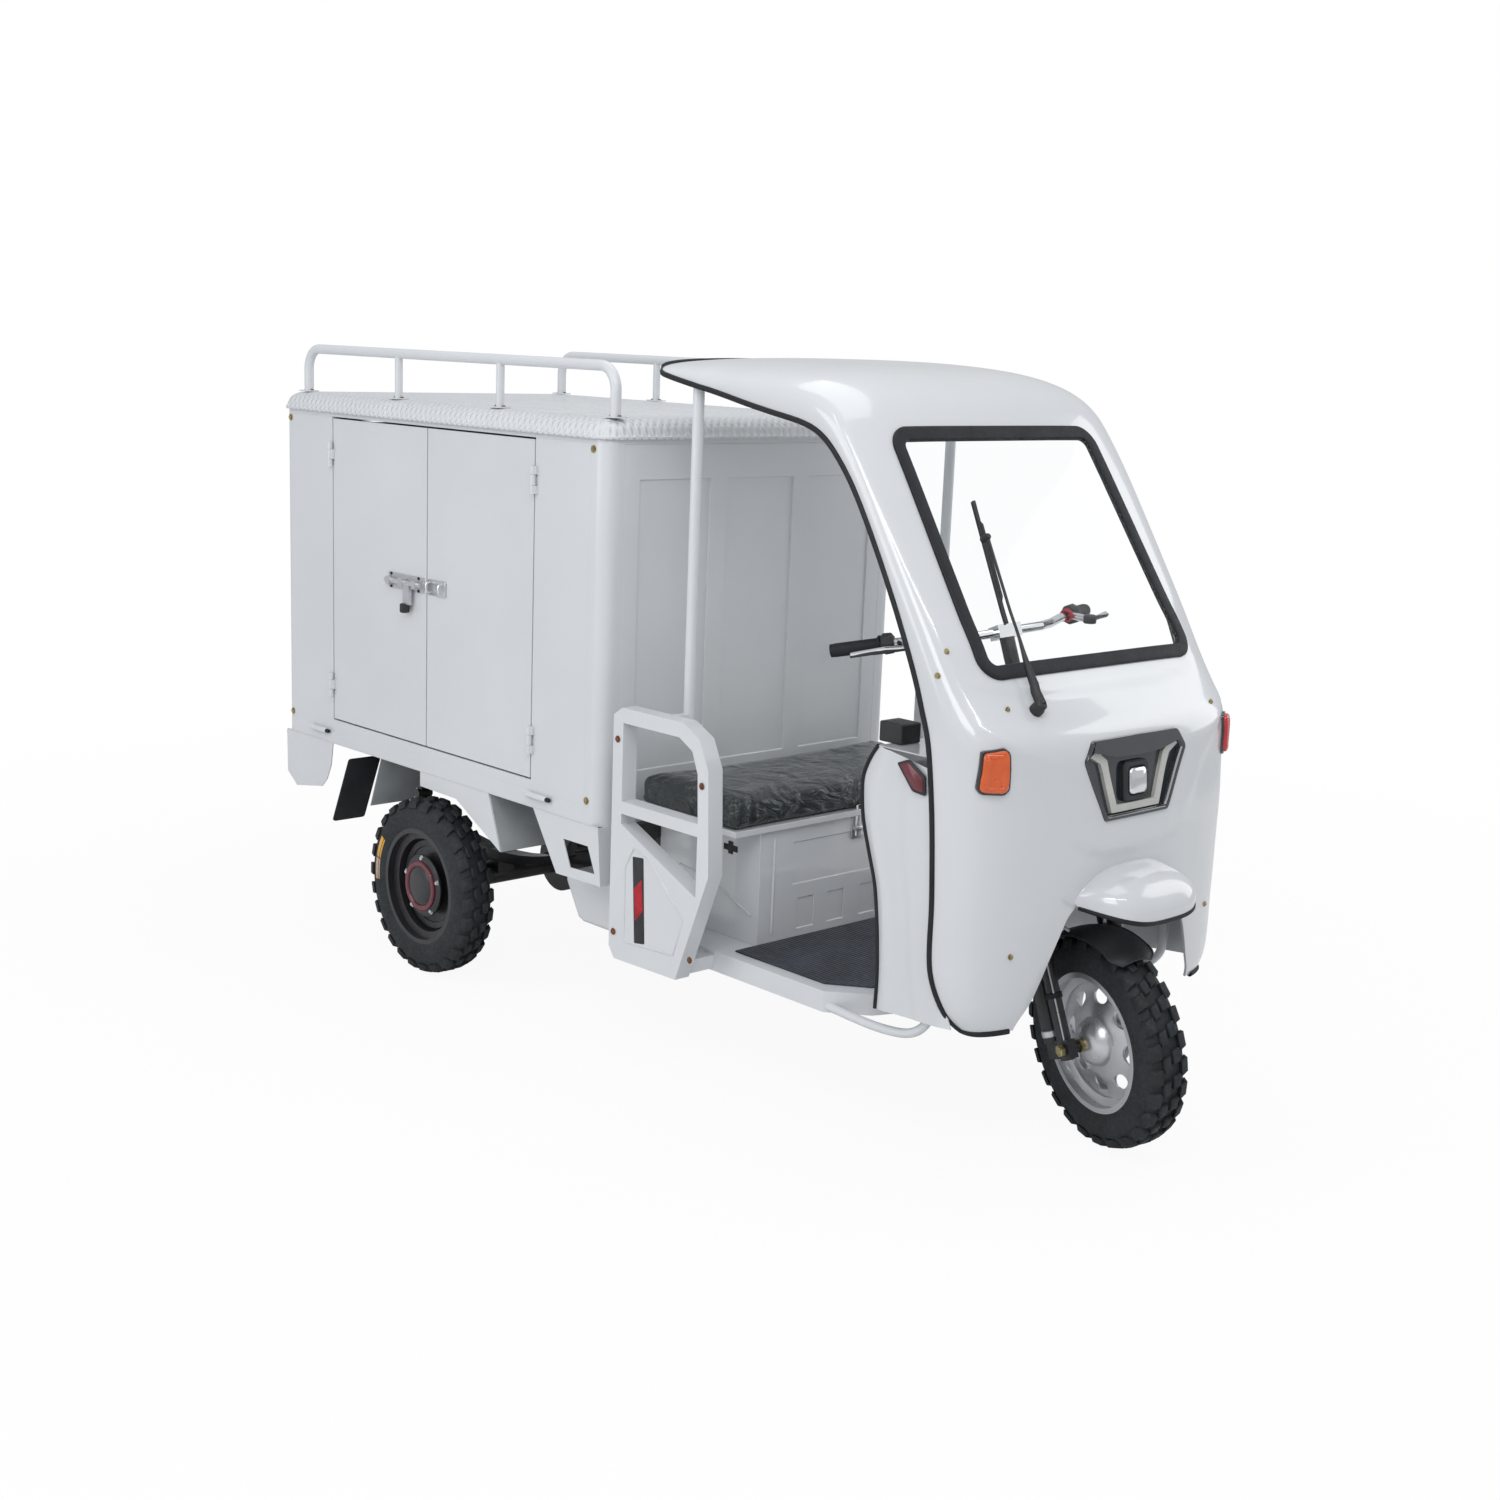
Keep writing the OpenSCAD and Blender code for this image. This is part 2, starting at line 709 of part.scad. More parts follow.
// Rear axle: a live axle with the motor and differential on it as one heavy block
axle_tube_r = 32;
module rear_axle() {
    color(BLACK)
        from_axle()
            translate([-wheelbase, 0, tyre_r]) {
                rotate([90, 0, 0]) {
                    translate([0, 0, -rear_wheel_y + 62])
                        cylinder(h = 2 * rear_wheel_y - 124, r = axle_tube_r, $fn = 48);
                    translate([0, 0, -rear_wheel_y - 40])
                        cylinder(h = 2 * rear_wheel_y + 80, r = shaft_r, $fn = 48);
                    translate([0, 0, -75])
                        cylinder(h = 150, r = 92, $fn = 64);
                }
                // Motor ahead of the differential
                translate([60, -20, 20])
                    rotate([0, 90, 0])
                        cylinder(h = 250, r = 78, $fn = 64);
                both_sides() {
                    block([-42, -spring_y - 28, 10], [42, -spring_y + 28, axle_tube_r + 12]);
                    // Brake drums against the wheels
                    translate([0, -rear_wheel_y + 100, 0])
                        rotate([90, 0, 0])
                            cylinder(h = 38, r = 92, $fn = 64);
                }
            }
}

// Leaf springs on the axle's pads, with rolled eyes under the bed rails
spring_reach = 395;
spring_eye_z = tyre_r + 165;
eye_r = 15;
LEAVES = [[0, 1.0], [1, 0.86], [2, 0.66], [3, 0.44]];
module leaf_springs() {
    leaf_t = 8;
    pad_z = tyre_r + axle_tube_r + 12 + seat_gap;
    // Each leaf is bedded a little into the next, and the top one into the eyes
    bed = 0.6;
    step = leaf_t - bed;
    low_z = pad_z + leaf_t + 3 * step;
    sag = spring_eye_z - eye_r + 3 - low_z;
    arc_r = (spring_reach * spring_reach + sag * sag) / (2 * sag);
    color(BLACK)
        from_axle()
            both_sides()
                translate([-wheelbase, 0, 0]) {
                    across(-spring_y - 25, -spring_y + 25)
                        for (leaf = LEAVES) {
                            half = asin(leaf[1] * spring_reach / arc_r);
                            z = low_z - leaf[0] * step + arc_r;
                            polygon(concat(
                                [for (k = [-6 : 6])
                                    [arc_r * sin(half * k / 6), z - arc_r * cos(half * k / 6)]],
                                [for (k = [6 : -1 : -6])
                                    [(arc_r + leaf_t) * sin(half * k / 6),
                                        z - (arc_r + leaf_t) * cos(half * k / 6)]]));
                        }
                    for (x = [-spring_reach, spring_reach])
                        translate([x, -spring_y + 25, spring_eye_z])
                            rotate([90, 0, 0])
                                cylinder(h = 50, r = eye_r, $fn = 48);
                }
}

// Fork: crown, two legs, a damper behind each leg and the stem
axle_local = [fork_offset * cos(rake), 0, -fork_offset * sin(rake)];
stem_top = (bar_z - front_axle_z) / cos(rake) - 16;
damper_back = 46;
front_axle_r = 9;
module fork() {
    color(BLACK)
        from_axle()
            steered()
                on_stem() {
                    translate([-34, -fork_leg_y - 26, crown_h])
                        cube([82, 2 * fork_leg_y + 52, 24]);
                    cylinder_from(crown_h, stem_top, stem_r);
                    both_sides() {
                        translate([axle_local[0] - 12, -fork_leg_y, axle_local[2] - 26])
                            cylinder(h = crown_h + 24 - axle_local[2] + 26, r = fork_leg_r, $fn = 48);
                        translate([axle_local[0] - damper_back - 12, -fork_leg_y, axle_local[2] + 28])
                            cylinder(h = crown_h - axle_local[2] - 60, r = 13, $fn = 48);
                        translate([axle_local[0] - damper_back - 12, -fork_leg_y, axle_local[2] + 16])
                            cylinder(h = 150, r = 21, $fn = 48);
                        // Lower lug that joins leg, damper and axle
                        translate([axle_local[0] - damper_back - 26, -fork_leg_y - 12,
                            axle_local[2] - 22])
                            cube([damper_back + 44, 24, 44]);
                        // Upper lug that holds the damper
                        translate([axle_local[0] - damper_back - 24, -fork_leg_y - 12, crown_h - 40])
                            cube([damper_back + 24, 24, 40]);
                    }
                    translate([axle_local[0], fork_leg_y + 22, axle_local[2]])
                        rotate([90, 0, 0])
                            cylinder(h = 2 * fork_leg_y + 44, r = front_axle_r, $fn = 48);
                }
}
module cylinder_from(z0, z1, r) {
    translate([0, 0, z0])
        cylinder(h = z1 - z0, r = r, $fn = 48);
}

// Front mudguard: a rolled strip close over the front tyre, hung from the crown
guard_gap = 13;
guard_half_w = 60;
module front_mudguard() {
    r = tyre_r + guard_gap;
    color(BLACK)
        from_axle()
            steered() {
                translate([0, 0, front_axle_z])
                    rotate([0, -62, 0])
                        rotate([90, 0, 0])
                            rotate_extrude(angle = 78, $fn = 96)
                                polygon([[r, -guard_half_w], [r + 4, -guard_half_w],
                                    [r + 8, 0], [r + 4, guard_half_w], [r, guard_half_w],
                                    [r + 4, 0]]);
                // Stay up to the fork crown
                on_stem()
                    translate([axle_local[0] - 12, -18, axle_local[2] + r + 5])
                        cube([24, 36, crown_h - seat_gap - axle_local[2] - r - 5]);
            }
}

// Handlebar: a bent tube on the stem's clamp, with a lever ahead of each grip
grip_len = 118;
function bar_point(x, y, z) = [-fork_offset - (bar_z - front_axle_z) * tan(rake) + x, y, z];
// Bends of its right half: [share of the sweep, share of the half width, height]
BAR = [[0, 0, 0], [0, 0.28, 0], [-0.09, 0.39, -1], [-0.28, 0.53, -2], [-0.46, 0.67, -6]];
function bar_place(p) = bar_point(p[0] * bar_sweep, p[1] * bar_half_w, bar_z + p[2]);
function mirror_y(p) = [p[0], -p[1], p[2]];
grip_from = bar_point(-0.46 * bar_sweep, 0.67 * bar_half_w, bar_z - 6);
grip_to = bar_point(-bar_sweep, bar_half_w, bar_z - 27);
module handlebar() {
    color(SILVER)
        from_axle()
            steered() {
                sweep(concat(
                    [mirror_y(grip_to)],
                    [for (i = [len(BAR) - 1 : -1 : 1]) mirror_y(bar_place(BAR[i]))],
                    [for (p = BAR) bar_place(p)],
                    [grip_to]), bar_r, 16);
                on_stem()
                    translate([-22, -32, stem_top])
                        cube([44, 64, 32]);
                both_sides()
                    sweep([bar_point(30, 0.62 * bar_half_w, bar_z + 2),
                        bar_point(-30, 0.86 * bar_half_w, bar_z - 2),
                        bar_point(-104, 1.0 * bar_half_w, bar_z - 22)], 5, 8);
                both_sides()
                    rod(bar_point(30, 0.62 * bar_half_w, bar_z + 2), grip_from, 9);
            }
}

module grips() {
    way = unit(grip_to - grip_from);
    start = grip_to - way * grip_len;
    color(RUBBER)
        from_axle()
            steered()
                both_sides()
                    difference() {
                        union() {
                            rod(start, grip_to + way * 6, 16);
                            rod(start, start + way * 5, 22);
                        }
                        rod(start - way, grip_to + way * 0.2, bar_r + 0.2);
                    }
}

// A wheel disc and rim about the Y axis, its dished face towards +Y
hub_r = 38;
hub_half = 44;
rim_half = 46;
module wheel_rim(bore_r) {
    seat_r = rim_r - 0.9;
    rotate([-90, 0, 0])
        difference() {
            union() {
                rotate_extrude($fn = 96)
                    polygon([[seat_r, rim_half - 3], [rim_r + 10, rim_half - 3],
                        [rim_r + 10, rim_half], [seat_r - 4, rim_half], [seat_r - 4, 25],
                        [rim_r - 24, 20], [rim_r - 24, -20], [seat_r - 4, -25],
                        [seat_r - 4, -rim_half], [rim_r + 10, -rim_half],
                        [rim_r + 10, -rim_half + 3], [seat_r, -rim_half + 3],
                        [seat_r, -20], [rim_r - 20, -15], [rim_r - 20, 15], [seat_r, 20]]);
                rotate_extrude($fn = 96)
                    polygon([[rim_r - 22, 12], [rim_r - 22, 7], [rim_r - 40, 4], [rim_r - 62, 10],
                        [74, 22], [hub_r - 4, 22], [hub_r - 4, 27], [76, 27],
                        [rim_r - 60, 15], [rim_r - 40, 9]]);
                rotate_extrude($fn = 96)
                    polygon([[bore_r, -hub_half], [hub_r - 8, -hub_half], [hub_r, -hub_half + 10],
                        [hub_r, hub_half - 10], [hub_r - 10, hub_half], [bore_r, hub_half]]);
            }
            // Slots between the rim and the hub
            for (k = [0 : slot_count - 1])
                rotate([0, 0, k * 360 / slot_count])
                    translate([rim_r - 42, 0, -10])
                        cylinder(h = 60, r = 13, $fn = 32);
        }
}

// A tyre about the Y axis: two staggered rows of lugs on a round carcass.
// One half section from the bead out to the tread: [y, radius between lugs, radius on a lug]
function tyre_half() = [
    [tyre_w / 2 - 13, rim_r, rim_r],
    [tyre_w / 2 - 2, rim_r + 26, rim_r + 26],
    [tyre_w / 2, rim_r + 50, rim_r + 50],
    [tyre_w / 2 - 4, tyre_r - lug_h - 15, tyre_r - 13],
    [tread_half, tyre_r - lug_h - 2, tyre_r - 3],
    [4, tyre_r - lug_h, tyre_r]];
LUG_STEPS = [0, 0.4, 0.5, 0.9];
module tyre() {
    half = tyre_half();
    m = len(half);
    ring = 2 * m;
    steps = 4 * lug_count;
    pitch = 360 / lug_count;
    points = [for (a = [0 : steps - 1])
        let (angle = (floor(a / 4) + LUG_STEPS[a % 4]) * pitch, left = a % 4 < 2 ? 2 : 1)
        for (j = [0 : ring - 1])
            let (p = j < m ? half[j] : half[ring - 1 - j])
            let (r = j < m ? p[left] : p[3 - left], y = j < m ? p[0] : -p[0])
            [r * cos(angle), y, r * sin(angle)]];
    faces = flat_list([for (a = [0 : steps - 1]) for (j = [0 : ring - 1])
        let (b = (a + 1) % steps, k = (j + 1) % ring)
        quad(a * ring + j, a * ring + k, b * ring + k, b * ring + j)]);
    polyhedron(points, faces, convexity = 6);
}

module front_wheel_place() {
    from_axle()
        steered()
            translate([0, 0, front_axle_z])
                children();
}
module rear_wheel_place(side) {
    from_axle()
        translate([-wheelbase, side * rear_wheel_y, tyre_r])
            mirror([0, side > 0 ? 0 : 1, 0])
                children();
}
module front_rim() {
    color(SILVER)
        front_wheel_place()
            mirror([0, 1, 0])
                wheel_rim(front_axle_r + run_gap);
}
module front_tyre() {
    color(RUBBER)
        front_wheel_place()
            tyre();
}
module rear_rim_right() {
    color(BLACK)
        rear_wheel_place(-1)
            wheel_rim(shaft_r + run_gap);
}
module rear_tyre_right() {
    color(RUBBER)
        rear_wheel_place(-1)
            tyre();
}
module rear_rim_left() {
    color(BLACK)
        rear_wheel_place(1)
            wheel_rim(shaft_r + run_gap);
}
module rear_tyre_left() {
    color(RUBBER)
        rear_wheel_place(1)
            tyre();
}

// Load box floor: a rail all round with a sheet on top
module box_base() {
    rail = 36;
    color(BOX_WHITE)
        from_axle() {
            floor_sheet();
            difference() {
                block([box_rear_x, -box_half_w, base_z], [box_front_x, box_half_w, box_floor_z]);
                block([box_rear_x + rail, -box_half_w + rail, base_z - cut],
                    [box_front_x - rail, box_half_w - rail, box_floor_z - 4]);
                for (side = [-1, 1])
                    for (x = [box_rear_x, box_front_x])
                        translate([x, side * box_half_w, base_z - cut])
                            pillar_corner(x == box_rear_x ? 1 : -1, -side, base_h + 2 * cut);
            }
        }
}
// The floor sheet lies between the walls, notched round the pillars
sheet_gap = 2;
sheet_rise = 2;
module floor_sheet() {
    in = wall_t + sheet_gap;
    notch = pillar_w + sheet_gap;
    difference() {
        block([box_rear_x + in, -box_half_w + in, box_floor_z - 1],
            [box_front_x - in, box_half_w - in, box_floor_z + sheet_rise]);
        for (side = [-1, 1])
            for (x = [box_rear_x, box_front_x])
                translate([x, side * box_half_w, box_floor_z - 2])
                    facing(x == box_rear_x ? 1 : -1, -side)
                        cube([notch, notch, 2 + sheet_rise + cut]);
    }
}
// Turns what points to +x and +y towards the signs given
module facing(sx, sy) {
    mirror([sx < 0 ? 1 : 0, 0, 0])
        mirror([0, sy < 0 ? 1 : 0, 0])
            children();
}
// What is cut from a square corner to round it, growing towards +x and +y
module pillar_corner(sx, sy, h) {
    facing(sx, sy)
        linear_extrude(h)
            difference() {
                translate([-cut, -cut])
                    square(pillar_r + cut);
                translate([pillar_r, pillar_r])
                    circle(r = pillar_r, $fn = 64);
            }
}

// Load box frame: four rounded corner pillars and the rails along their tops
module box_frame() {
    color(BOX_WHITE)
        from_axle() {
            for (side = [-1, 1])
                for (x = [box_rear_x, box_front_x]) {
                    sx = x == box_rear_x ? 1 : -1;
                    translate([x, side * box_half_w, box_floor_z])
                        difference() {
                            facing(sx, -side)
                                cube([pillar_w, pillar_w, box_wall_h]);
                            translate([0, 0, -cut])
                                pillar_corner(sx, -side, box_wall_h + 2 * cut);
                        }
                }
            difference() {
                block([box_rear_x, -box_half_w, box_top_z], [box_front_x, box_half_w, box_top_z + 30]);
                block([box_rear_x + 34, -box_half_w + 34, box_top_z - cut],
                    [box_front_x - 34, box_half_w - 34, box_top_z + 30 + cut]);
                for (side = [-1, 1])
                    for (x = [box_rear_x, box_front_x])
                        translate([x, side * box_half_w, box_top_z - cut])
                            pillar_corner(x == box_rear_x ? 1 : -1, -side, 30 + 2 * cut);
            }
            // Head of the tail doorway
            block([box_rear_x, -tail_door_w / 2, tail_top_z], [box_rear_x + wall_t,
                tail_door_w / 2, box_top_z]);
            for (side = [-1, 1])
                for (z = tail_hinge_z)
                    translate([box_rear_x - hinge_out, side * tail_hinge_y, z])
                        hinge_ears([hinge_out + 2, side * 14]);
        }
}
tail_top_z = box_top_z - 26;

// Walls between the pillars, with shallow pressed panels
press_d = 5;
module box_front_wall() {
    half = box_half_w - pillar_w;
    color(BOX_WHITE)
        from_axle()
            difference() {
                block([box_front_x - wall_t, -half, box_floor_z], [box_front_x, half, box_top_z]);
                for (k = [-1, 0, 1])
                    block([box_front_x - press_d, k * 300 - 120, box_floor_z + 90],
                        [box_front_x + cut, k * 300 + 120, box_top_z - 90]);
            }
}
module box_left_wall() {
    x0 = box_rear_x + pillar_w;
    x1 = box_front_x - pillar_w;
    third = (x1 - x0) / 3;
    color(BOX_WHITE)
        from_axle()
            difference() {
                block([x0, box_half_w - wall_t, box_floor_z], [x1, box_half_w, box_top_z]);
                for (k = [0 : 2])
                    block([x0 + k * third + 35, box_half_w - press_d, box_floor_z + 60],
                        [x0 + (k + 1) * third - 35, box_half_w + cut, box_top_z - 60]);
            }
}

// Doorways and hinges. A hinge has two fixed ears on a pin, and one knuckle on the door
side_door_x1 = box_front_x - side_door_in;
side_door_x0 = side_door_x1 - side_door_w;
side_hinge_z = [box_floor_z + 136, box_top_z - 109];
tail_hinge_z = [box_floor_z + 136, box_top_z - 150];
tail_hinge_y = tail_door_w / 2;
pin_r = 4;
ear_len = hinge_len * 0.3;
// Fixed ears and pin, along Z about the origin, with a web to the wall at reach
module hinge_ears(reach) {
    difference() {
        for (z = [-hinge_len / 2, hinge_len / 2 - ear_len])
            translate([0, 0, z]) {
                cylinder(h = ear_len, r = knuckle_r, $fn = 32);
                block([min(0, reach[0]), min(0, reach[1]), 0],
                    [max(0, reach[0]), max(0, reach[1]), ear_len]);
            }
    }
    translate([0, 0, -hinge_len / 2])
        cylinder(h = hinge_len, r = pin_r, $fn = 32);
}
// The door's knuckle, round the pin
module hinge_knuckle(reach) {
    gap = 0.5;
    h = hinge_len - 2 * ear_len - 2 * gap;
    difference() {
        translate([0, 0, -h / 2]) {
            cylinder(h = h, r = knuckle_r, $fn = 32);
            block([min(0, reach[0]), min(0, reach[1]), 0],
                [max(0, reach[0]), max(0, reach[1]), h]);
        }
        cylinder(h = hinge_len, r = pin_r + run_gap, center = true, $fn = 32);
    }
}

module box_right_wall() {
    color(BOX_WHITE)
        from_axle() {
            difference() {
                block([box_rear_x + pillar_w, -box_half_w, box_floor_z],
                    [box_front_x - pillar_w, -box_half_w + wall_t, box_top_z]);
                block([side_door_x0, -box_half_w - cut, box_floor_z + door_sill_h],
                    [side_door_x1, -box_half_w + wall_t + cut, box_top_z + cut]);
            }
            for (z = side_hinge_z) {
                translate([side_door_x1, -box_half_w - hinge_out, z])
                    hinge_ears([12, hinge_out]);
                translate([side_door_x0, -box_half_w - hinge_out, z])
                    hinge_ears([-12, hinge_out]);
            }
        }
}

// One leaf of the side doors, from its hinge side x towards the middle of the doorway
leaf_w = side_door_w / 2 - door_gap * 1.5;
module side_leaf(hinge_x, way) {
    x0 = hinge_x + way * door_gap;
    x1 = x0 + way * leaf_w;
    z0 = box_floor_z + door_sill_h + door_gap;
    z1 = box_top_z - door_gap;
    difference() {
        block([min(x0, x1), -box_half_w, z0], [max(x0, x1), -box_half_w + wall_t, z1]);
        block([min(x0, x1) + 40, -box_half_w + wall_t - press_d, z0 + 40],
            [max(x0, x1) - 40, -box_half_w + wall_t + cut, z1 - 40]);
    }
    for (z = side_hinge_z)
        translate([hinge_x, -box_half_w - hinge_out, z])
            hinge_knuckle([way * 14, hinge_out]);
}
module side_door_front() {
    color(BOX_WHITE)
        from_axle()
            side_leaf(side_door_x1, -1);
}
module side_door_rear() {
    color(BOX_WHITE)
        from_axle()
            side_leaf(side_door_x0, 1);
}

// Slide bolt with a hasp on the rear leaf, drawn back from the joint
bolt_z = 1115;
module side_bolt() {
    mid = (side_door_x0 + side_door_x1) / 2;
    face = -box_half_w - seat_gap;
    color(SILVER)
        from_axle() {
            block([mid - 190, face - 4, bolt_z - 22], [mid - 12, face, bolt_z + 22]);
            for (x = [mid - 176, mid - 110, mid - 44])
                block([x, face - 24, bolt_z - 12], [x + 18, face, bolt_z + 12]);
            rod([mid - 190, face - 14, bolt_z], [mid - 8, face - 14, bolt_z], 7);
            block([mid - 92, face - 20, bolt_z - 60], [mid - 62, face - 10, bolt_z]);
        }
}

// Tail doors: two leaves that meet in the middle
tail_leaf_w = tail_door_w / 2 - door_gap * 1.5;
module tail_leaf(side) {
    z0 = box_floor_z + door_gap;
    z1 = tail_top_z - door_gap;
    y0 = side * (tail_hinge_y - door_gap);
    y1 = y0 - side * tail_leaf_w;
    difference() {
        block([box_rear_x, min(y0, y1), z0], [box_rear_x + wall_t, max(y0, y1), z1]);
        block([box_rear_x - cut, min(y0, y1) + 50, z0 + 60],
            [box_rear_x + press_d, max(y0, y1) - 50, z1 - 60]);
    }
    for (z = tail_hinge_z)
        translate([box_rear_x - hinge_out, side * tail_hinge_y, z])
            hinge_knuckle([hinge_out, -side * 14]);
}
module tail_door_right() {
    color(BOX_WHITE)
        from_axle()
            tail_leaf(-1);
}
module tail_door_left() {
    color(BOX_WHITE)
        from_axle()
            tail_leaf(1);
}
module tail_bolt() {
    face = box_rear_x - seat_gap;
    color(SILVER)
        from_axle() {
            block([face - 4, 12, bolt_z - 22], [face, 190, bolt_z + 22]);
            rod([face - 8, 10, bolt_z], [face - 8, 190, bolt_z], 7);
            block([face - 14, 80, bolt_z - 60], [face - 6, 110, bolt_z]);
        }
}

// Roof of the load box: a tray turned down over the top rails, with pressed ribs
module box_roof() {
    z0 = box_top_z + 12;
    z1 = box_top_z + roof_h + 8;
    x0 = box_rear_x - roof_lip;
    x1 = box_front_x + roof_lip;
    half = box_half_w + roof_lip;
    color(BOX_WHITE)
        from_axle()
            difference() {
                translate([0, 0, z0])
                    linear_extrude(z1 - z0)
                        rounded_plan(x0, x1, half, pillar_r + roof_lip);
                translate([0, 0, z0 - cut])
                    linear_extrude(box_top_z + 30 + seat_gap - z0 + cut)
                        rounded_plan(box_rear_x - seat_gap, box_front_x + seat_gap,
                            box_half_w + seat_gap, pillar_r);
            }
}
// A rectangle with round corners between x0 and x1, of half width w
module rounded_plan(x0, x1, w, r) {
    translate([x0 + r, -w])
        square([x1 - x0 - 2 * r, 2 * w]);
    translate([x0, -w + r])
        square([x1 - x0, 2 * w - 2 * r]);
    for (x = [x0 + r, x1 - r])
        for (y = [-w + r, w - r])
            translate([x, y])
                circle(r = r, $fn = 64);
}

// Roof rack: a low hoop of tube along each side, on four feet
rack_y = 480;
rack_bend = 60;
roof_top_z = box_top_z + roof_h + 8;
rack_x0 = box_rear_x + 60;
rack_x1 = box_front_x - 32;
module rack_elbow() {
    rotate([90, 0, 0])
        rotate_extrude(angle = 90, $fn = 64)
            translate([rack_bend, 0])
                circle(r = rack_r, $fn = 32);
}
module roof_rack() {
    z0 = roof_top_z + seat_gap;
    z1 = roof_top_z + rack_h;
    color(BOX_WHITE)
        from_axle()
            both_sides()
                translate([0, -rack_y, 0]) {
                    rod([rack_x0 + rack_bend, 0, z1], [rack_x1 - rack_bend, 0, z1], rack_r);
                    translate([rack_x1 - rack_bend, 0, z1 - rack_bend])
                        rack_elbow();
                    translate([rack_x0 + rack_bend, 0, z1 - rack_bend])
                        mirror([1, 0, 0])
                            rack_elbow();
                    for (x = [rack_x0, rack_x1])
                        rod([x, 0, z0], [x, 0, z1 - rack_bend], rack_r);
                    for (x = [rack_x0 + (rack_x1 - rack_x0) / 3, rack_x1 - (rack_x1 - rack_x0) / 3])
                        rod([x, 0, z0], [x, 0, z1], rack_r * 0.8);
                    for (k = [0 : 3])
                        translate([rack_x0 + k * (rack_x1 - rack_x0) / 3, 0, z0])
                            block([-24, -20, 0], [24, 20, 4]);
                }
}

// Sheet skirts that hang from the floor rail: outlines in X and Z
skirt_t = 3;
arch_top_z = 530;
module side_skirts() {
    x1 = box_front_x + 14;
    color(BOX_WHITE)
        from_axle()
            both_sides() {
                // Bracket ahead of the wheel, with a window
                across(-box_half_w, -box_half_w + skirt_t)
                    difference() {
                        polygon([[x1 - 14, base_z], [x1, 423], [x1 - 188, 418], [x1 - 294, base_z]]);
                        polygon([[x1 - 160, 519], [x1 - 55, 520], [x1 - 24, 452], [x1 - 128, 447]]);
                    }
                across(-box_half_w, -box_half_w + 70)
                    polygon([[x1 - 14, base_z], [x1, 423], [x1 - 4, 423], [x1 - 18, base_z]]);
                across(-box_half_w, -box_half_w + 45)
                    polygon([[x1 - 188, 418], [x1 - 294, base_z], [x1 - 290, base_z],
                        [x1 - 184, 418]]);
                // Skirt at the wheel
                across(-box_half_w, -box_half_w + skirt_t)
                    polygon([[-wheelbase + 272, base_z], [-wheelbase + 331, 421],
                        [-wheelbase + 118, arch_top_z], [-wheelbase - 63, arch_top_z + 3],
                        [-wheelbase - 63, base_z]]);
                // Skirt at the tail
                across(-box_half_w, -box_half_w + skirt_t)
                    polygon([[box_rear_x, base_z], [box_rear_x + 3, 443], [box_rear_x + 58, 405],
                        [box_rear_x + 208, 430], [box_rear_x + 237, 458], [box_rear_x + 261, 506],
                        [box_rear_x + 273, base_z]]);
            }
}

// Wheel arches: a ribbed plate ahead of each rear wheel, one behind, and a rubber flap
arch_w = 156;
module wheel_arches() {
    color(STEEL)
        from_axle()
            both_sides() {
                for (way = [-1, 1])
                    across(-box_half_w + skirt_t + seat_gap, -box_half_w + arch_w)
                        polygon([[-wheelbase + way * 272, base_z], [-wheelbase + way * 331, 421],
                            [-wheelbase + way * 334, 421], [-wheelbase + way * 275, base_z]]);
            }
}

// Tail lamps on the tail skirt's back edge
module tail_lamps() {
    color([0.6, 0.05, 0.05])
        from_axle()
            both_sides()
                block([box_rear_x + 8, -box_half_w + skirt_t + seat_gap, base_z - 90],
                    [box_rear_x + 30, -box_half_w + 120, base_z]);
}

frame();
rear_axle();
leaf_springs();
floor_pan();
floor_mat();
battery_box();
seat_box();
seat_cushion();
side_guard_right();
side_guard_left();
cowl();
cowl_seals();
windscreen();
wiper();
headlamp();
indicators();
leg_shield();
control_box();
nose_fender();
fork();
front_mudguard();
handlebar();
grips();
front_rim();
front_tyre();
rear_rim_right();
rear_tyre_right();
rear_rim_left();
rear_tyre_left();
box_base();
box_frame();
box_front_wall();
box_left_wall();
box_right_wall();
side_door_front();
side_door_rear();
side_bolt();
tail_door_right();
tail_door_left();
tail_bolt();
box_roof();
roof_rack();
side_skirts();
wheel_arches();
tail_lamps();
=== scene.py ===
import json
import math

import bmesh
import bpy
from mathutils import Matrix, Vector, noise
from mathutils.bvhtree import BVHTree

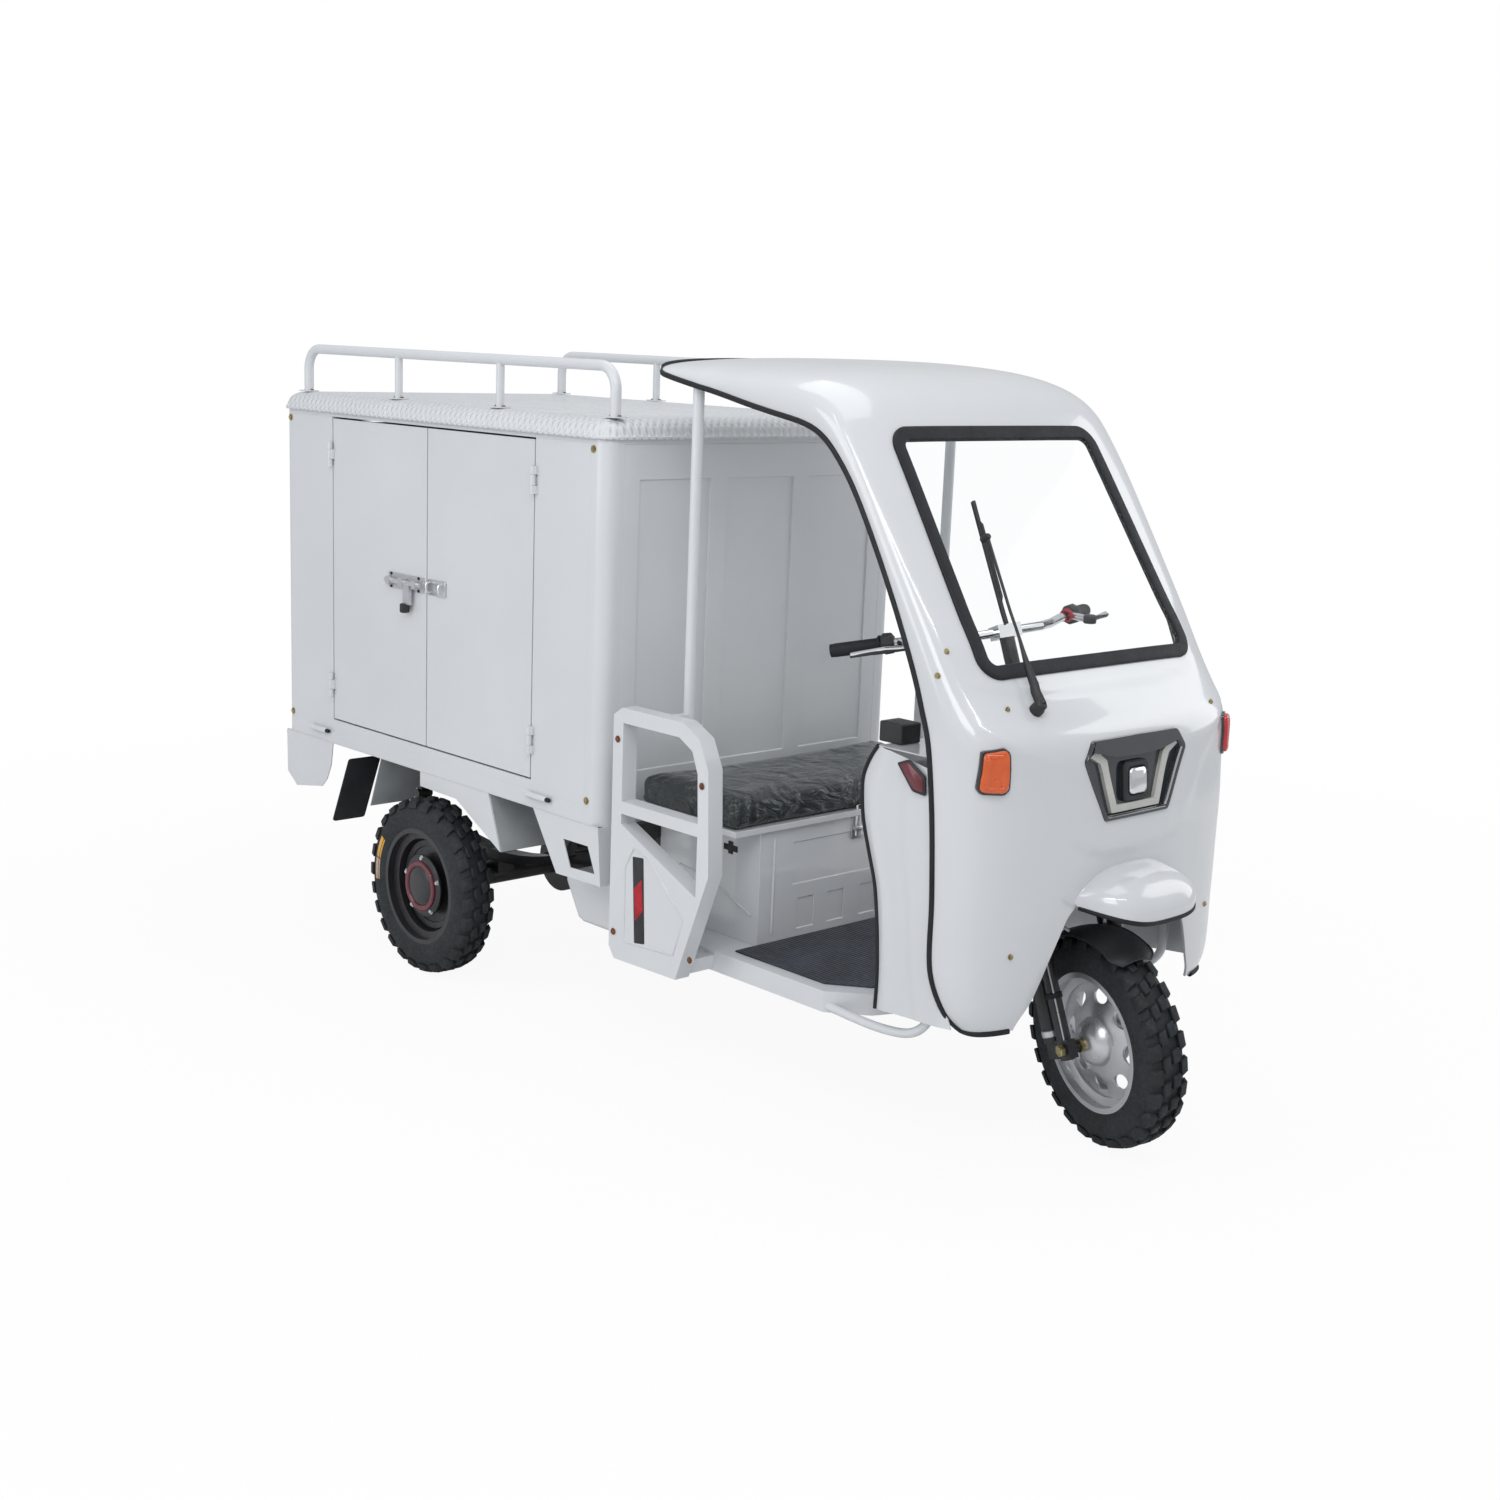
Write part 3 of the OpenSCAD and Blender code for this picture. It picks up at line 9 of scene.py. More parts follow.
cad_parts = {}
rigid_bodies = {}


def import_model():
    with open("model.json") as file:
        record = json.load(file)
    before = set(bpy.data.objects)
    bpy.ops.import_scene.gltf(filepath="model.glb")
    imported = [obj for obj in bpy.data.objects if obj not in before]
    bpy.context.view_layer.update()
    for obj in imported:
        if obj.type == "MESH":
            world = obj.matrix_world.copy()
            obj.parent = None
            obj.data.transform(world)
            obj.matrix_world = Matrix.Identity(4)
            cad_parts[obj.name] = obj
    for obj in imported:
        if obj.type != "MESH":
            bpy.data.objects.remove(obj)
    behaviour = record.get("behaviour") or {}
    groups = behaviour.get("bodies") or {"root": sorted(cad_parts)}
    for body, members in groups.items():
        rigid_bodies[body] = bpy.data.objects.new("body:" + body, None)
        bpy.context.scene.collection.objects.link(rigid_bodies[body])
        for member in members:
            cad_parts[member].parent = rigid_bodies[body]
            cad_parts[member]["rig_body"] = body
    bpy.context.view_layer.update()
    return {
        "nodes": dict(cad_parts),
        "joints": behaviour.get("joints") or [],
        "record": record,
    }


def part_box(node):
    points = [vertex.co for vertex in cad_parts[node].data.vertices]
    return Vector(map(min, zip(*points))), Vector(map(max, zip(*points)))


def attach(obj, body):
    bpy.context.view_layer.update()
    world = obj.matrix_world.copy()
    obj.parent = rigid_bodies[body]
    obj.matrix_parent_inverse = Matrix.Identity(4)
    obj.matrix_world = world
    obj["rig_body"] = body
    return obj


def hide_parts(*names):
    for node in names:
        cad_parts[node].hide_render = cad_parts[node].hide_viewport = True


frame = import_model()
scene = bpy.context.scene
nodes = frame["nodes"]

# The model's own datum: the front axle's place on the ground
WHEELBASE = 2022
REAR_WHEEL_Y = 535
TYRE_R = 255
RIM_R = 160
RAKE = 21
STEER_REST = -17
joint_at = {j["name"]: Vector(j["pos_m"]) for j in frame["joints"]}
AXLE_X = joint_at["rear_wheel_right_spin"].x + WHEELBASE / 1000


def at(x, y, z):
    """A point in metres from millimetres measured at the front axle's place."""
    return Vector((x / 1000 + AXLE_X, y / 1000, z / 1000))


# Camera
yaw, pitch, roll = (math.radians(a) for a in (136.93, 11.61, -2.17))
forward = Vector((math.cos(yaw) * math.cos(pitch), math.sin(yaw) * math.cos(pitch), -math.sin(pitch)))
level = Vector((math.sin(yaw), -math.cos(yaw), 0))
upright = level.cross(forward)
right = level * math.cos(roll) - upright * math.sin(roll)
up = level * math.sin(roll) + upright * math.cos(roll)
camera_data = bpy.data.cameras.new("camera")
camera_data.sensor_width = 36
camera_data.lens = 48.24
camera_data.clip_end = 60
camera = bpy.data.objects.new("camera", camera_data)
camera.matrix_world = Matrix.Translation(at(2688, -3698, 1836)) @ Matrix((right, up, -forward)).transposed().to_4x4()
scene.collection.objects.link(camera)
scene.camera = camera


# Materials
def tree_of(name):
    material = bpy.data.materials.new(name)
    material.use_nodes = True
    tree = material.node_tree
    return material, tree, tree.nodes["Principled BSDF"]


def noise_node(tree, scale, detail=3.0, stretch=None):
    place = tree.nodes.new("ShaderNodeTexCoord")
    source = place.outputs["Object"]
    if stretch:
        mapping = tree.nodes.new("ShaderNodeMapping")
        mapping.inputs["Scale"].default_value = stretch
        tree.links.new(source, mapping.inputs["Vector"])
        source = mapping.outputs["Vector"]
    node = tree.nodes.new("ShaderNodeTexNoise")
    node.inputs["Scale"].default_value = scale
    node.inputs["Detail"].default_value = detail
    tree.links.new(source, node.inputs["Vector"])
    return node


def spread(tree, value, low, high):
    node = tree.nodes.new("ShaderNodeMapRange")
    node.inputs["From Min"].default_value = 0.3
    node.inputs["From Max"].default_value = 0.7
    node.inputs["To Min"].default_value = low
    node.inputs["To Max"].default_value = high
    tree.links.new(value, node.inputs["Value"])
    return node.outputs["Result"]


def mixed(tree, factor, dark, light):
    node = tree.nodes.new("ShaderNodeMix")
    node.data_type = "RGBA"
    node.inputs["A"].default_value = (*dark, 1)
    node.inputs["B"].default_value = (*light, 1)
    tree.links.new(factor, node.inputs["Factor"])
    return node.outputs["Result"]


def bumped(tree, shader, height, strength, distance, socket="Normal"):
    node = tree.nodes.new("ShaderNodeBump")
    node.inputs["Strength"].default_value = strength
    node.inputs["Distance"].default_value = distance
    tree.links.new(height, node.inputs["Height"])
    tree.links.new(node.outputs["Normal"], shader.inputs[socket])


def finish_of(name, color, rough, metal=0.0, coat=0.0, vary=0.06, scale=4.0, rough_vary=0.06,
              bump=0.0, bump_scale=300.0, stretch=None, specular=0.5, ripple=0.0):
    """A surface whose colour, gloss and relief vary as the real one's do."""
    material, tree, shader = tree_of(name)
    shader.inputs["Metallic"].default_value = metal
    shader.inputs["Coat Weight"].default_value = coat
    shader.inputs["Coat Roughness"].default_value = 0.04
    shader.inputs["Specular IOR Level"].default_value = specular
    cloud = noise_node(tree, scale, 4.0, stretch).outputs["Fac"]
    dark = [c * (1 - vary) for c in color]
    light = [min(1.0, c * (1 + vary)) for c in color]
    tree.links.new(mixed(tree, spread(tree, cloud, 0, 1), dark, light), shader.inputs["Base Color"])
    grain = noise_node(tree, scale * 6, 5.0, stretch).outputs["Fac"]
    tree.links.new(spread(tree, grain, max(0.02, rough - rough_vary), rough + rough_vary),
                   shader.inputs["Roughness"])
    if bump:
        relief = noise_node(tree, bump_scale, 3.0, stretch).outputs["Fac"]
        bumped(tree, shader, relief, bump, 0.001)
    if ripple:
        # Thin sheet is never quite flat, so its reflections wander
        grain_bump = shader.inputs["Normal"].links[0].from_node
        wave = tree.nodes.new("ShaderNodeBump")
        wave.inputs["Strength"].default_value = ripple
        wave.inputs["Distance"].default_value = 0.02
        tree.links.new(noise_node(tree, 3.2, 2.0, (1.0, 1.0, 0.45)).outputs["Fac"], wave.inputs["Height"])
        tree.links.new(wave.outputs["Normal"], grain_bump.inputs["Normal"])
    return material


def lens_of(name, color, rough, ribs, emission=0.0):
    """Moulded lens plastic with fine ribs on its inner side."""
    material = finish_of(name, color, rough, coat=0.8, vary=0.12, scale=22)
    tree = material.node_tree
    shader = tree.nodes["Principled BSDF"]
    place = tree.nodes.new("ShaderNodeTexCoord")
    wave = tree.nodes.new("ShaderNodeTexWave")
    wave.inputs["Scale"].default_value = ribs
    wave.bands_direction = "Z"
    tree.links.new(place.outputs["Object"], wave.inputs["Vector"])
    bumped(tree, shader, wave.outputs["Fac"], 0.35, 0.0015)
    if emission:
        shader.inputs["Emission Color"].default_value = (*color, 1)
        shader.inputs["Emission Strength"].default_value = emission
    return material


COWL_WHITE = finish_of("cowl_white", (0.62, 0.635, 0.655), 0.18, coat=0.8, rough_vary=0.03, vary=0.02, scale=2.5,
                       bump=0.03, bump_scale=45, ripple=0.12)
BOX_WHITE = finish_of("box_white", (0.64, 0.66, 0.68), 0.3, coat=0.3, vary=0.025, scale=3,
                      rough_vary=0.02, bump=0.04, bump_scale=160, ripple=0.16)
BLACK_STEEL = finish_of("black_steel", (0.018, 0.018, 0.02), 0.42, coat=0.2, vary=0.3, scale=12,
                        bump=0.12, bump_scale=220)
SILVER = finish_of("silver_steel", (0.62, 0.63, 0.65), 0.3, metal=0.8, vary=0.04, scale=12,
                   rough_vary=0.03, bump=0.03, bump_scale=400)
CHROME = finish_of("chrome", (0.78, 0.79, 0.8), 0.12, metal=1.0, vary=0.03, scale=10, rough_vary=0.04)
RUBBER = finish_of("black_rubber", (0.011, 0.013, 0.016), 0.56, vary=0.25, scale=14,
                   bump=0.1, bump_scale=600, specular=0.32)
TYRE = finish_of("tyre", (0.011, 0.014, 0.017), 0.68, vary=0.4, scale=18, rough_vary=0.12,
                 bump=0.25, bump_scale=500)
PLASTIC = finish_of("black_plastic", (0.016, 0.017, 0.019), 0.5, vary=0.2, scale=20,
                    bump=0.2, bump_scale=900)
LAMP_DARK = finish_of("lamp_dark", (0.016, 0.02, 0.026), 0.08, coat=1.0, vary=0.25, scale=14)
LAMP_GREY = finish_of("lamp_grey", (0.5, 0.5, 0.47), 0.3, coat=0.5, vary=0.05, scale=30,
                      bump=0.3, bump_scale=260)
AMBER = lens_of("amber", (0.6, 0.085, 0.006), 0.14, 60, 0.06)
RED_LENS = lens_of("red_lens", (0.5, 0.006, 0.008), 0.16, 50, 0.05)
ZINC = finish_of("zinc_bolts", (0.42, 0.34, 0.18), 0.38, metal=0.9, vary=0.3, scale=90,
                 bump=0.15, bump_scale=900)
RUST = finish_of("rusty_bolts", (0.2, 0.08, 0.04), 0.7, metal=0.3, vary=0.5, scale=120,
                 bump=0.5, bump_scale=1200)
BRASS = finish_of("brass", (0.45, 0.38, 0.2), 0.3, metal=0.95, vary=0.2, scale=60)
MAROON = finish_of("maroon_paint", (0.12, 0.01, 0.02), 0.35, coat=0.4, vary=0.2, scale=40)
RED_TAG = finish_of("red_cloth", (0.42, 0.008, 0.02), 0.7, vary=0.25, scale=60, bump=0.5, bump_scale=1500)
ARCH_GREY = finish_of("arch_grey", (0.36, 0.38, 0.39), 0.55, vary=0.12, scale=12, bump=0.2, bump_scale=240)


def ribbed(material, spacing, strength, direction="X"):
    """Adds straight ribs across a surface, spacing metres apart."""
    tree = material.node_tree
    shader = tree.nodes["Principled BSDF"]
    place = tree.nodes.new("ShaderNodeTexCoord")
    wave = tree.nodes.new("ShaderNodeTexWave")
    wave.bands_direction = direction
    wave.inputs["Scale"].default_value = 2 * math.pi / (20 * spacing)
    tree.links.new(place.outputs["Object"], wave.inputs["Vector"])
    bumped(tree, shader, wave.outputs["Fac"], strength, 0.002)
    return material


MAT = ribbed(finish_of("floor_mat", (0.022, 0.028, 0.042), 0.4, vary=0.5, scale=9), 0.012, 0.5, "Y")


def tread_plate():
    """White-painted tread plate: small lozenges raised in two turns."""
    material = finish_of("tread_plate", (0.66, 0.68, 0.7), 0.33, coat=0.2, vary=0.04, scale=5)
    tree = material.node_tree
    shader = tree.nodes["Principled BSDF"]
    place = tree.nodes.new("ShaderNodeTexCoord")
    split = tree.nodes.new("ShaderNodeSeparateXYZ")
    tree.links.new(place.outputs["Object"], split.inputs["Vector"])

    def math_node(kind, a, b=None):
        node = tree.nodes.new("ShaderNodeMath")
        node.operation = kind
        for i, value in enumerate((a, b)):
            if value is None:
                continue
            if isinstance(value, (int, float)):
                node.inputs[i].default_value = value
            else:
                tree.links.new(value, node.inputs[i])
        return node.outputs["Value"]

    x, y = split.outputs["X"], split.outputs["Y"]
    pitch = 130
    u = math_node("MULTIPLY", math_node("ADD", x, y), pitch)
    v = math_node("MULTIPLY", math_node("SUBTRACT", x, y), pitch)
    product = math_node("MULTIPLY", math_node("SINE", u), math_node("SINE", v))
    form = tree.nodes.new("ShaderNodeNewGeometry")
    turned = tree.nodes.new("ShaderNodeSeparateXYZ")
    tree.links.new(form.outputs["Normal"], turned.inputs["Vector"])
    facing_up = math_node("MINIMUM", math_node("MULTIPLY", turned.outputs["Z"], 4.0), 1.0)
    height = math_node("MULTIPLY", math_node("POWER", math_node("ABSOLUTE", product), 1.6), facing_up)
    bumped(tree, shader, height, 0.9, 0.004)
    return material


TREAD_PLATE = tread_plate()


def vinyl_under_film():
    """Dark vinyl below clear wrap: the film's folds catch the light in its coat."""
    material = finish_of("vinyl", (0.006, 0.012, 0.013), 0.6, coat=1.0, specular=0.25, vary=0.35, scale=9,
                         bump=0.35, bump_scale=700)
    tree = material.node_tree
    shader = tree.nodes["Principled BSDF"]
    shader.inputs["Coat Roughness"].default_value = 0.07
    folds = noise_node(tree, 9, 4.0, (1.0, 1.0, 2.2))
    folds.inputs["Distortion"].default_value = 1.6
    node = tree.nodes.new("ShaderNodeBump")
    node.inputs["Strength"].default_value = 0.8
    node.inputs["Distance"].default_value = 0.02
    tree.links.new(folds.outputs["Fac"], node.inputs["Height"])
    tree.links.new(node.outputs["Normal"], shader.inputs["Coat Normal"])
    return material


VINYL = vinyl_under_film()
REFLECTOR = finish_of("reflector", (0.72, 0.36, 0.02), 0.3, coat=0.5, vary=0.15, scale=60)
PALE_STRIP = finish_of("pale_strip", (0.5, 0.34, 0.24), 0.4, coat=0.3, vary=0.12, scale=60)


def clear(name, color, rough=0.02, ior=1.45):
    material, tree, shader = tree_of(name)
    shader.inputs["Base Color"].default_value = (*color, 1)
    shader.inputs["Transmission Weight"].default_value = 1.0
    shader.inputs["IOR"].default_value = ior
    streak = noise_node(tree, 3.0).outputs["Fac"]
    tree.links.new(spread(tree, streak, rough * 0.5, rough * 1.5), shader.inputs["Roughness"])
    return material


GLASS = clear("windscreen_glass", (0.97, 0.985, 0.99), 0.01, 1.1)
CLEAR = clear("lens_clear", (0.95, 0.96, 0.97))

CAD_FINISH = {
    "black_steel": BLACK_STEEL, "box_white": BOX_WHITE, "cowl_white": COWL_WHITE, "mat": MAT,
    "vinyl": VINYL, "black_rubber": RUBBER, "glass": GLASS, "black_plastic": PLASTIC,
    "lamp": LAMP_DARK, "amber": AMBER, "chrome": CHROME, "silver_steel": SILVER, "tyre": TYRE,
    "arch_grey": ARCH_GREY, "red_lens": RED_LENS}
slot_of = {row["node"]: row["material_slot"] for row in frame["record"]["subparts"]}
for name, node in nodes.items():
    finish = CAD_FINISH[slot_of[name]]
    if not node.material_slots:
        node.data.materials.append(finish)
    for slot in node.material_slots:
        slot.material = finish


# Mesh helpers
def shade(obj, angle=35):
    obj.data.shade_smooth()
    obj.data.set_sharp_from_angle(angle=math.radians(angle))


def applied(obj):
    """Makes the evaluated mesh the object's own."""
    graph = bpy.context.evaluated_depsgraph_get()
    mesh = bpy.data.meshes.new_from_object(obj.evaluated_get(graph), depsgraph=graph)
    obj.modifiers.clear()
    obj.data = mesh
    return obj


def make(name, points, faces):
    mesh = bpy.data.meshes.new(name)
    mesh.from_pydata([tuple(p) for p in points], [], faces)
    mesh.update()
    obj = bpy.data.objects.new(name, mesh)
    scene.collection.objects.link(obj)
    return obj


def dress(obj, material, body, angle=35):
    obj.data.materials.clear()
    obj.data.materials.append(material)
    shade(obj, angle)
    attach(obj, body)
    return obj


def from_bmesh(name, bm):
    mesh = bpy.data.meshes.new(name)
    bm.to_mesh(mesh)
    bm.free()
    obj = bpy.data.objects.new(name, mesh)
    scene.collection.objects.link(obj)
    return obj


def bevel_sharp(bm, width, segments, angle):
    edges = [e for e in bm.edges if len(e.link_faces) == 2 and e.calc_face_angle(0) > math.radians(angle)]
    bmesh.ops.bevel(bm, geom=edges, offset=width, segments=segments, profile=0.5, affect="EDGES",
                    clamp_overlap=True)


def weighted(obj):
    modifier = obj.modifiers.new("weighted", "WEIGHTED_NORMAL")
    modifier.keep_sharp = True
    return applied(obj)


def rounded(node, width, segments=2, angle=40, material=None):
    """The CAD node's own shape with its edges rounded as the real part's are."""
    bm = bmesh.new()
    bm.from_mesh(nodes[node].data)
    bmesh.ops.remove_doubles(bm, verts=bm.verts, dist=2e-5)
    bmesh.ops.dissolve_limit(bm, angle_limit=math.radians(0.5), verts=bm.verts, edges=bm.edges)
    bevel_sharp(bm, width, segments, angle)
    obj = from_bmesh(node + "_rounded", bm)
    dress(obj, material or CAD_FINISH[slot_of[node]], nodes[node]["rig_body"], 50)
    weighted(obj)
    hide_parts(node)
    return obj


def block(name, low, high, material, body, slot=None, bevel=1.5, matrix=None, taper=1.0):
    """A block with rounded edges between two corners in millimetres, narrowed at its top."""
    bm = bmesh.new()
    bmesh.ops.create_cube(bm, size=1)
    for v in bm.verts:
        share = [(c + 0.5) for c in v.co]
        v.co = Vector([low[i] + (high[i] - low[i]) * share[i] for i in range(3)])
        if share[2] > 0.5 and taper != 1.0:
            for i in (0, 1):
                mid = (low[i] + high[i]) / 2
                v.co[i] = mid + (v.co[i] - mid) * taper
    bmesh.ops.bevel(bm, geom=bm.edges[:], offset=bevel, segments=2, profile=0.6, affect="EDGES")
    bm.transform(Matrix.Scale(0.001, 4))
    bm.transform(matrix if matrix else Matrix.Translation(at(0, 0, 0)))
    return dress(from_bmesh(name, bm), material, body)


def lathe(name, profile, material, body, matrix, sides=64, angle=35):
    """Turns a profile of (radius, height) in millimetres about the matrix's own Z axis."""
    points, faces = [], []
    count = len(profile)
    for k in range(sides):
        a = 2 * math.pi * k / sides
        points += [matrix @ Vector((r * math.cos(a) / 1000, r * math.sin(a) / 1000, h / 1000)) for r, h in profile]
    for k in range(sides):
        n = (k + 1) % sides
        for j in range(count - 1):
            faces.append((k * count + j, n * count + j, n * count + j + 1, k * count + j + 1))
    obj = make(name, points, faces)
    bm = bmesh.new()
    bm.from_mesh(obj.data)
    bmesh.ops.remove_doubles(bm, verts=bm.verts, dist=1e-6)
    bmesh.ops.recalc_face_normals(bm, faces=bm.faces)
    bm.to_mesh(obj.data)
    bm.free()
    return dress(obj, material, body, angle)


def axes(origin, z, x=None):
    """A matrix at origin whose Z axis points along z."""
    z = Vector(z).normalized()
    x = Vector(x) if x else (Vector((0, 0, 1)) if abs(z.z) < 0.9 else Vector((1, 0, 0)))
    y = z.cross(x).normalized()
    x = y.cross(z)
    m = Matrix((x, y, z)).transposed().to_4x4()
    m.translation = origin
    return m


def tube(name, path, radius, material, body, sides=12, closed=False, flat=1.0):
    """A tube along points in metres; radius in millimetres, or one for each point."""
    radii = radius if isinstance(radius, (list, tuple)) else [radius] * len(path)
    points, faces = [], []
    count = len(path)
    normal = None
    for i, p in enumerate(path):
        before = path[i - 1] if i or closed else path[i]
        after = path[(i + 1) % count] if i < count - 1 or closed else path[i]
        way = (after - before).normalized()
        if normal is None:
            normal = way.orthogonal().normalized()
        normal = (normal - way * normal.dot(way)).normalized()
        side = way.cross(normal)
        for k in range(sides):
            a = 2 * math.pi * k / sides
            points.append(p + (normal * math.cos(a) + side * math.sin(a) * flat) * radii[i] / 1000)
    for i in range(count if closed else count - 1):
        n = (i + 1) % count
        for k in range(sides):
            m = (k + 1) % sides
            faces.append((i * sides + k, i * sides + m, n * sides + m, n * sides + k))
    if not closed:
        faces.append(tuple(range(sides - 1, -1, -1)))
        faces.append(tuple((count - 1) * sides + k for k in range(sides)))
    return dress(make(name, points, faces), material, body, 60)


def smooth_path(points, steps=6):
    """A smooth curve through the points given."""
    out = []
    for i in range(len(points) - 1):
        a, b, c, d = (points[min(max(i + k, 0), len(points) - 1)] for k in (-1, 0, 1, 2))
        for s in range(steps):
            t = s / steps
            out.append(0.5 * ((2 * b) + (c - a) * t + (2 * a - 5 * b + 4 * c - d) * t * t
                              + (3 * b - a - 3 * c + d) * t ** 3))
    out.append(points[-1])
    return out


def joined(name, objs):
    """One object from several that share a body."""
    bm = bmesh.new()
    for obj in objs:
        bm.from_mesh(obj.data)
    mesh = objs[0].data
    bm.to_mesh(mesh)
    bm.free()
    for obj in objs[1:]:
        bpy.data.objects.remove(obj)
    objs[0].name = name
    shade(objs[0])
    return objs[0]


def tidy_normals(obj):
    bm = bmesh.new()
    bm.from_mesh(obj.data)
    bmesh.ops.remove_doubles(bm, verts=bm.verts, dist=1e-6)
    bmesh.ops.recalc_face_normals(bm, faces=bm.faces)
    bm.to_mesh(obj.data)
    bm.free()
    return obj


# Cowl skin. Each row: middle x, middle z, edge x, edge half width, edge z, squareness
COWL = [
    (-1172, 1776, -1160, 440, 1752, 2.6), (-1130, 1781, -1118, 478, 1741, 2.8),
    (-1000, 1789, -977, 480, 1714, 3.0), (-860, 1790, -820, 480, 1685, 3.2),
    (-720, 1784, -700, 480, 1664, 3.4), (-630, 1771, -630, 480, 1652, 3.6),
    (-560, 1744, -580, 480, 1637, 4.0), (-506, 1702, -538, 480, 1612, 4.4),
    (-467, 1648, -500, 480, 1576, 4.8), (-408, 1560, -450, 480, 1515, 5.0),
    (-328, 1440, -381, 480, 1405, 5.0), (-241, 1310, -312, 480, 1280, 5.0),
    (-168, 1200, -260, 480, 1175, 5.0), (-114, 1120, -227, 480, 1100, 4.8),
    (-55, 1055, -207, 480, 1045, 4.2), (2, 986, -187, 480, 985, 3.6),
    (16, 900, -172, 480, 895, 3.2), (25, 799, -161, 480, 798, 3.0),
    (21, 690, -153, 480, 690, 3.0), (18, 590, -149, 480, 590, 3.0),
    (14, 480, -144, 480, 478, 3.0), (8, 415, -124, 472, 414, 3.0),
    (0, 372, -104, 455, 370, 3.0), (-10, 338, -88, 428, 342, 3.0)]


def spline(ts, ys, steps):
    """A natural cubic spline through (ts, ys), read at each step."""
    n = len(ts) - 1
    h = [ts[i + 1] - ts[i] for i in range(n)]
    alpha = [0] + [3 * ((ys[i + 1] - ys[i]) / h[i] - (ys[i] - ys[i - 1]) / h[i - 1]) for i in range(1, n)]
    low, mu, z = [1.0], [0.0], [0.0]
    for i in range(1, n):
        low.append(2 * (ts[i + 1] - ts[i - 1]) - h[i - 1] * mu[-1])
        mu.append(h[i] / low[i])
        z.append((alpha[i] - h[i - 1] * z[-1]) / low[i])
    c = [0.0] * (n + 1)
    b, d = [0.0] * n, [0.0] * n
    for j in range(n - 1, -1, -1):
        c[j] = z[j] - mu[j] * c[j + 1]
        b[j] = (ys[j + 1] - ys[j]) / h[j] - h[j] * (c[j + 1] + 2 * c[j]) / 3
        d[j] = (c[j + 1] - c[j]) / (3 * h[j])
    out = []
    for t in steps:
        j = max(k for k in range(n) if ts[k] <= t + 1e-9)
        s = t - ts[j]
        out.append(ys[j] + b[j] * s + c[j] * s * s + d[j] * s ** 3)
    return out


lengths = [0.0]
for a, b in zip(COWL, COWL[1:]):
    lengths.append(lengths[-1] + math.hypot(a[0] - b[0], a[1] - b[1]))
ROWS, COLS = 170, 96
steps = [lengths[-1] * i / ROWS for i in range(ROWS + 1)]
columns = [spline(lengths, [row[k] for row in COWL], steps) for k in range(6)]
half_widths = [min(480.0, w) for w in columns[3]]


def soft(t):
    t = min(1.0, max(0.0, t))
    return t * t * (3 - 2 * t)


# Raised field round the lamp: its half width at each height, as pressed into the cowl
FIELD = [(728, 120), (742, 175), (765, 198), (800, 216), (833, 236), (891, 272), (936, 312), (979, 376), (1013, 430)]


def field_half(z):
    if z <= FIELD[0][0]:
        return FIELD[0][1] - (FIELD[0][0] - z) * 4
    for (z0, w0), (z1, w1) in zip(FIELD, FIELD[1:]):
        if z <= z1:
            return w0 + (w1 - w0) * (z - z0) / (z1 - z0)
    return FIELD[-1][1] + (z - FIELD[-1][0]) * 1.5


def relief(y, z):
    """How far the moulded creases raise the skin, in millimetres."""
    rise = 0.0
    if 690 < z < 1110:
        inside = min(field_half(z) - abs(y), (z - 724) * 1.2)
        rise += 5.0 * soft(inside / 16 + 0.5) * (1 - soft((z - 985) / 60))
    under_screen = 1080 + 30 * (abs(y) / 415) ** 3
    if abs(y) < 450 and z > 1000:
        rise += 4.0 * soft((z - under_screen) / 9 + 0.5) * (1 - soft((z - 1180) / 80)) * (1 - soft((abs(y) - 380) / 60))
    return rise


grid, normals = [], []
for i in range(ROWS + 1):
    mx, mz, ex, _, ez, n = (columns[k][i] for k in range(6))
    row = []
    for j in range(COLS + 1):
        phi = math.pi * (j / COLS - 0.5)
        c, s = abs(math.cos(phi)), abs(math.sin(phi))
        r = (c ** n + s ** n) ** (-1 / n)
        f = 1 - r * math.cos(phi)
        row.append(at(mx + (ex - mx) * f, half_widths[i] * r * math.sin(phi), mz + (ez - mz) * f))
    grid.append(row)


def skin_normals(g):
    out = []
    for i in range(ROWS + 1):
        out.append([(g[min(i + 1, ROWS)][j] - g[max(i - 1, 0)][j]).cross(
            g[i][min(j + 1, COLS)] - g[i][max(j - 1, 0)]).normalized() for j in range(COLS + 1)])
    return out


normals = skin_normals(grid)
for i in range(ROWS + 1):
    for j in range(COLS + 1):
        p = grid[i][j]
        grid[i][j] = p + normals[i][j] * relief(p.y * 1000, p.z * 1000) / 1000
normals = skin_normals(grid)
skin_points = [p for row in grid for p in row]
skin_faces = [(i * (COLS + 1) + j, i * (COLS + 1) + j + 1, (i + 1) * (COLS + 1) + j + 1, (i + 1) * (COLS + 1) + j)
              for i in range(ROWS) for j in range(COLS)]
skin = BVHTree.FromPolygons(skin_points, skin_faces)


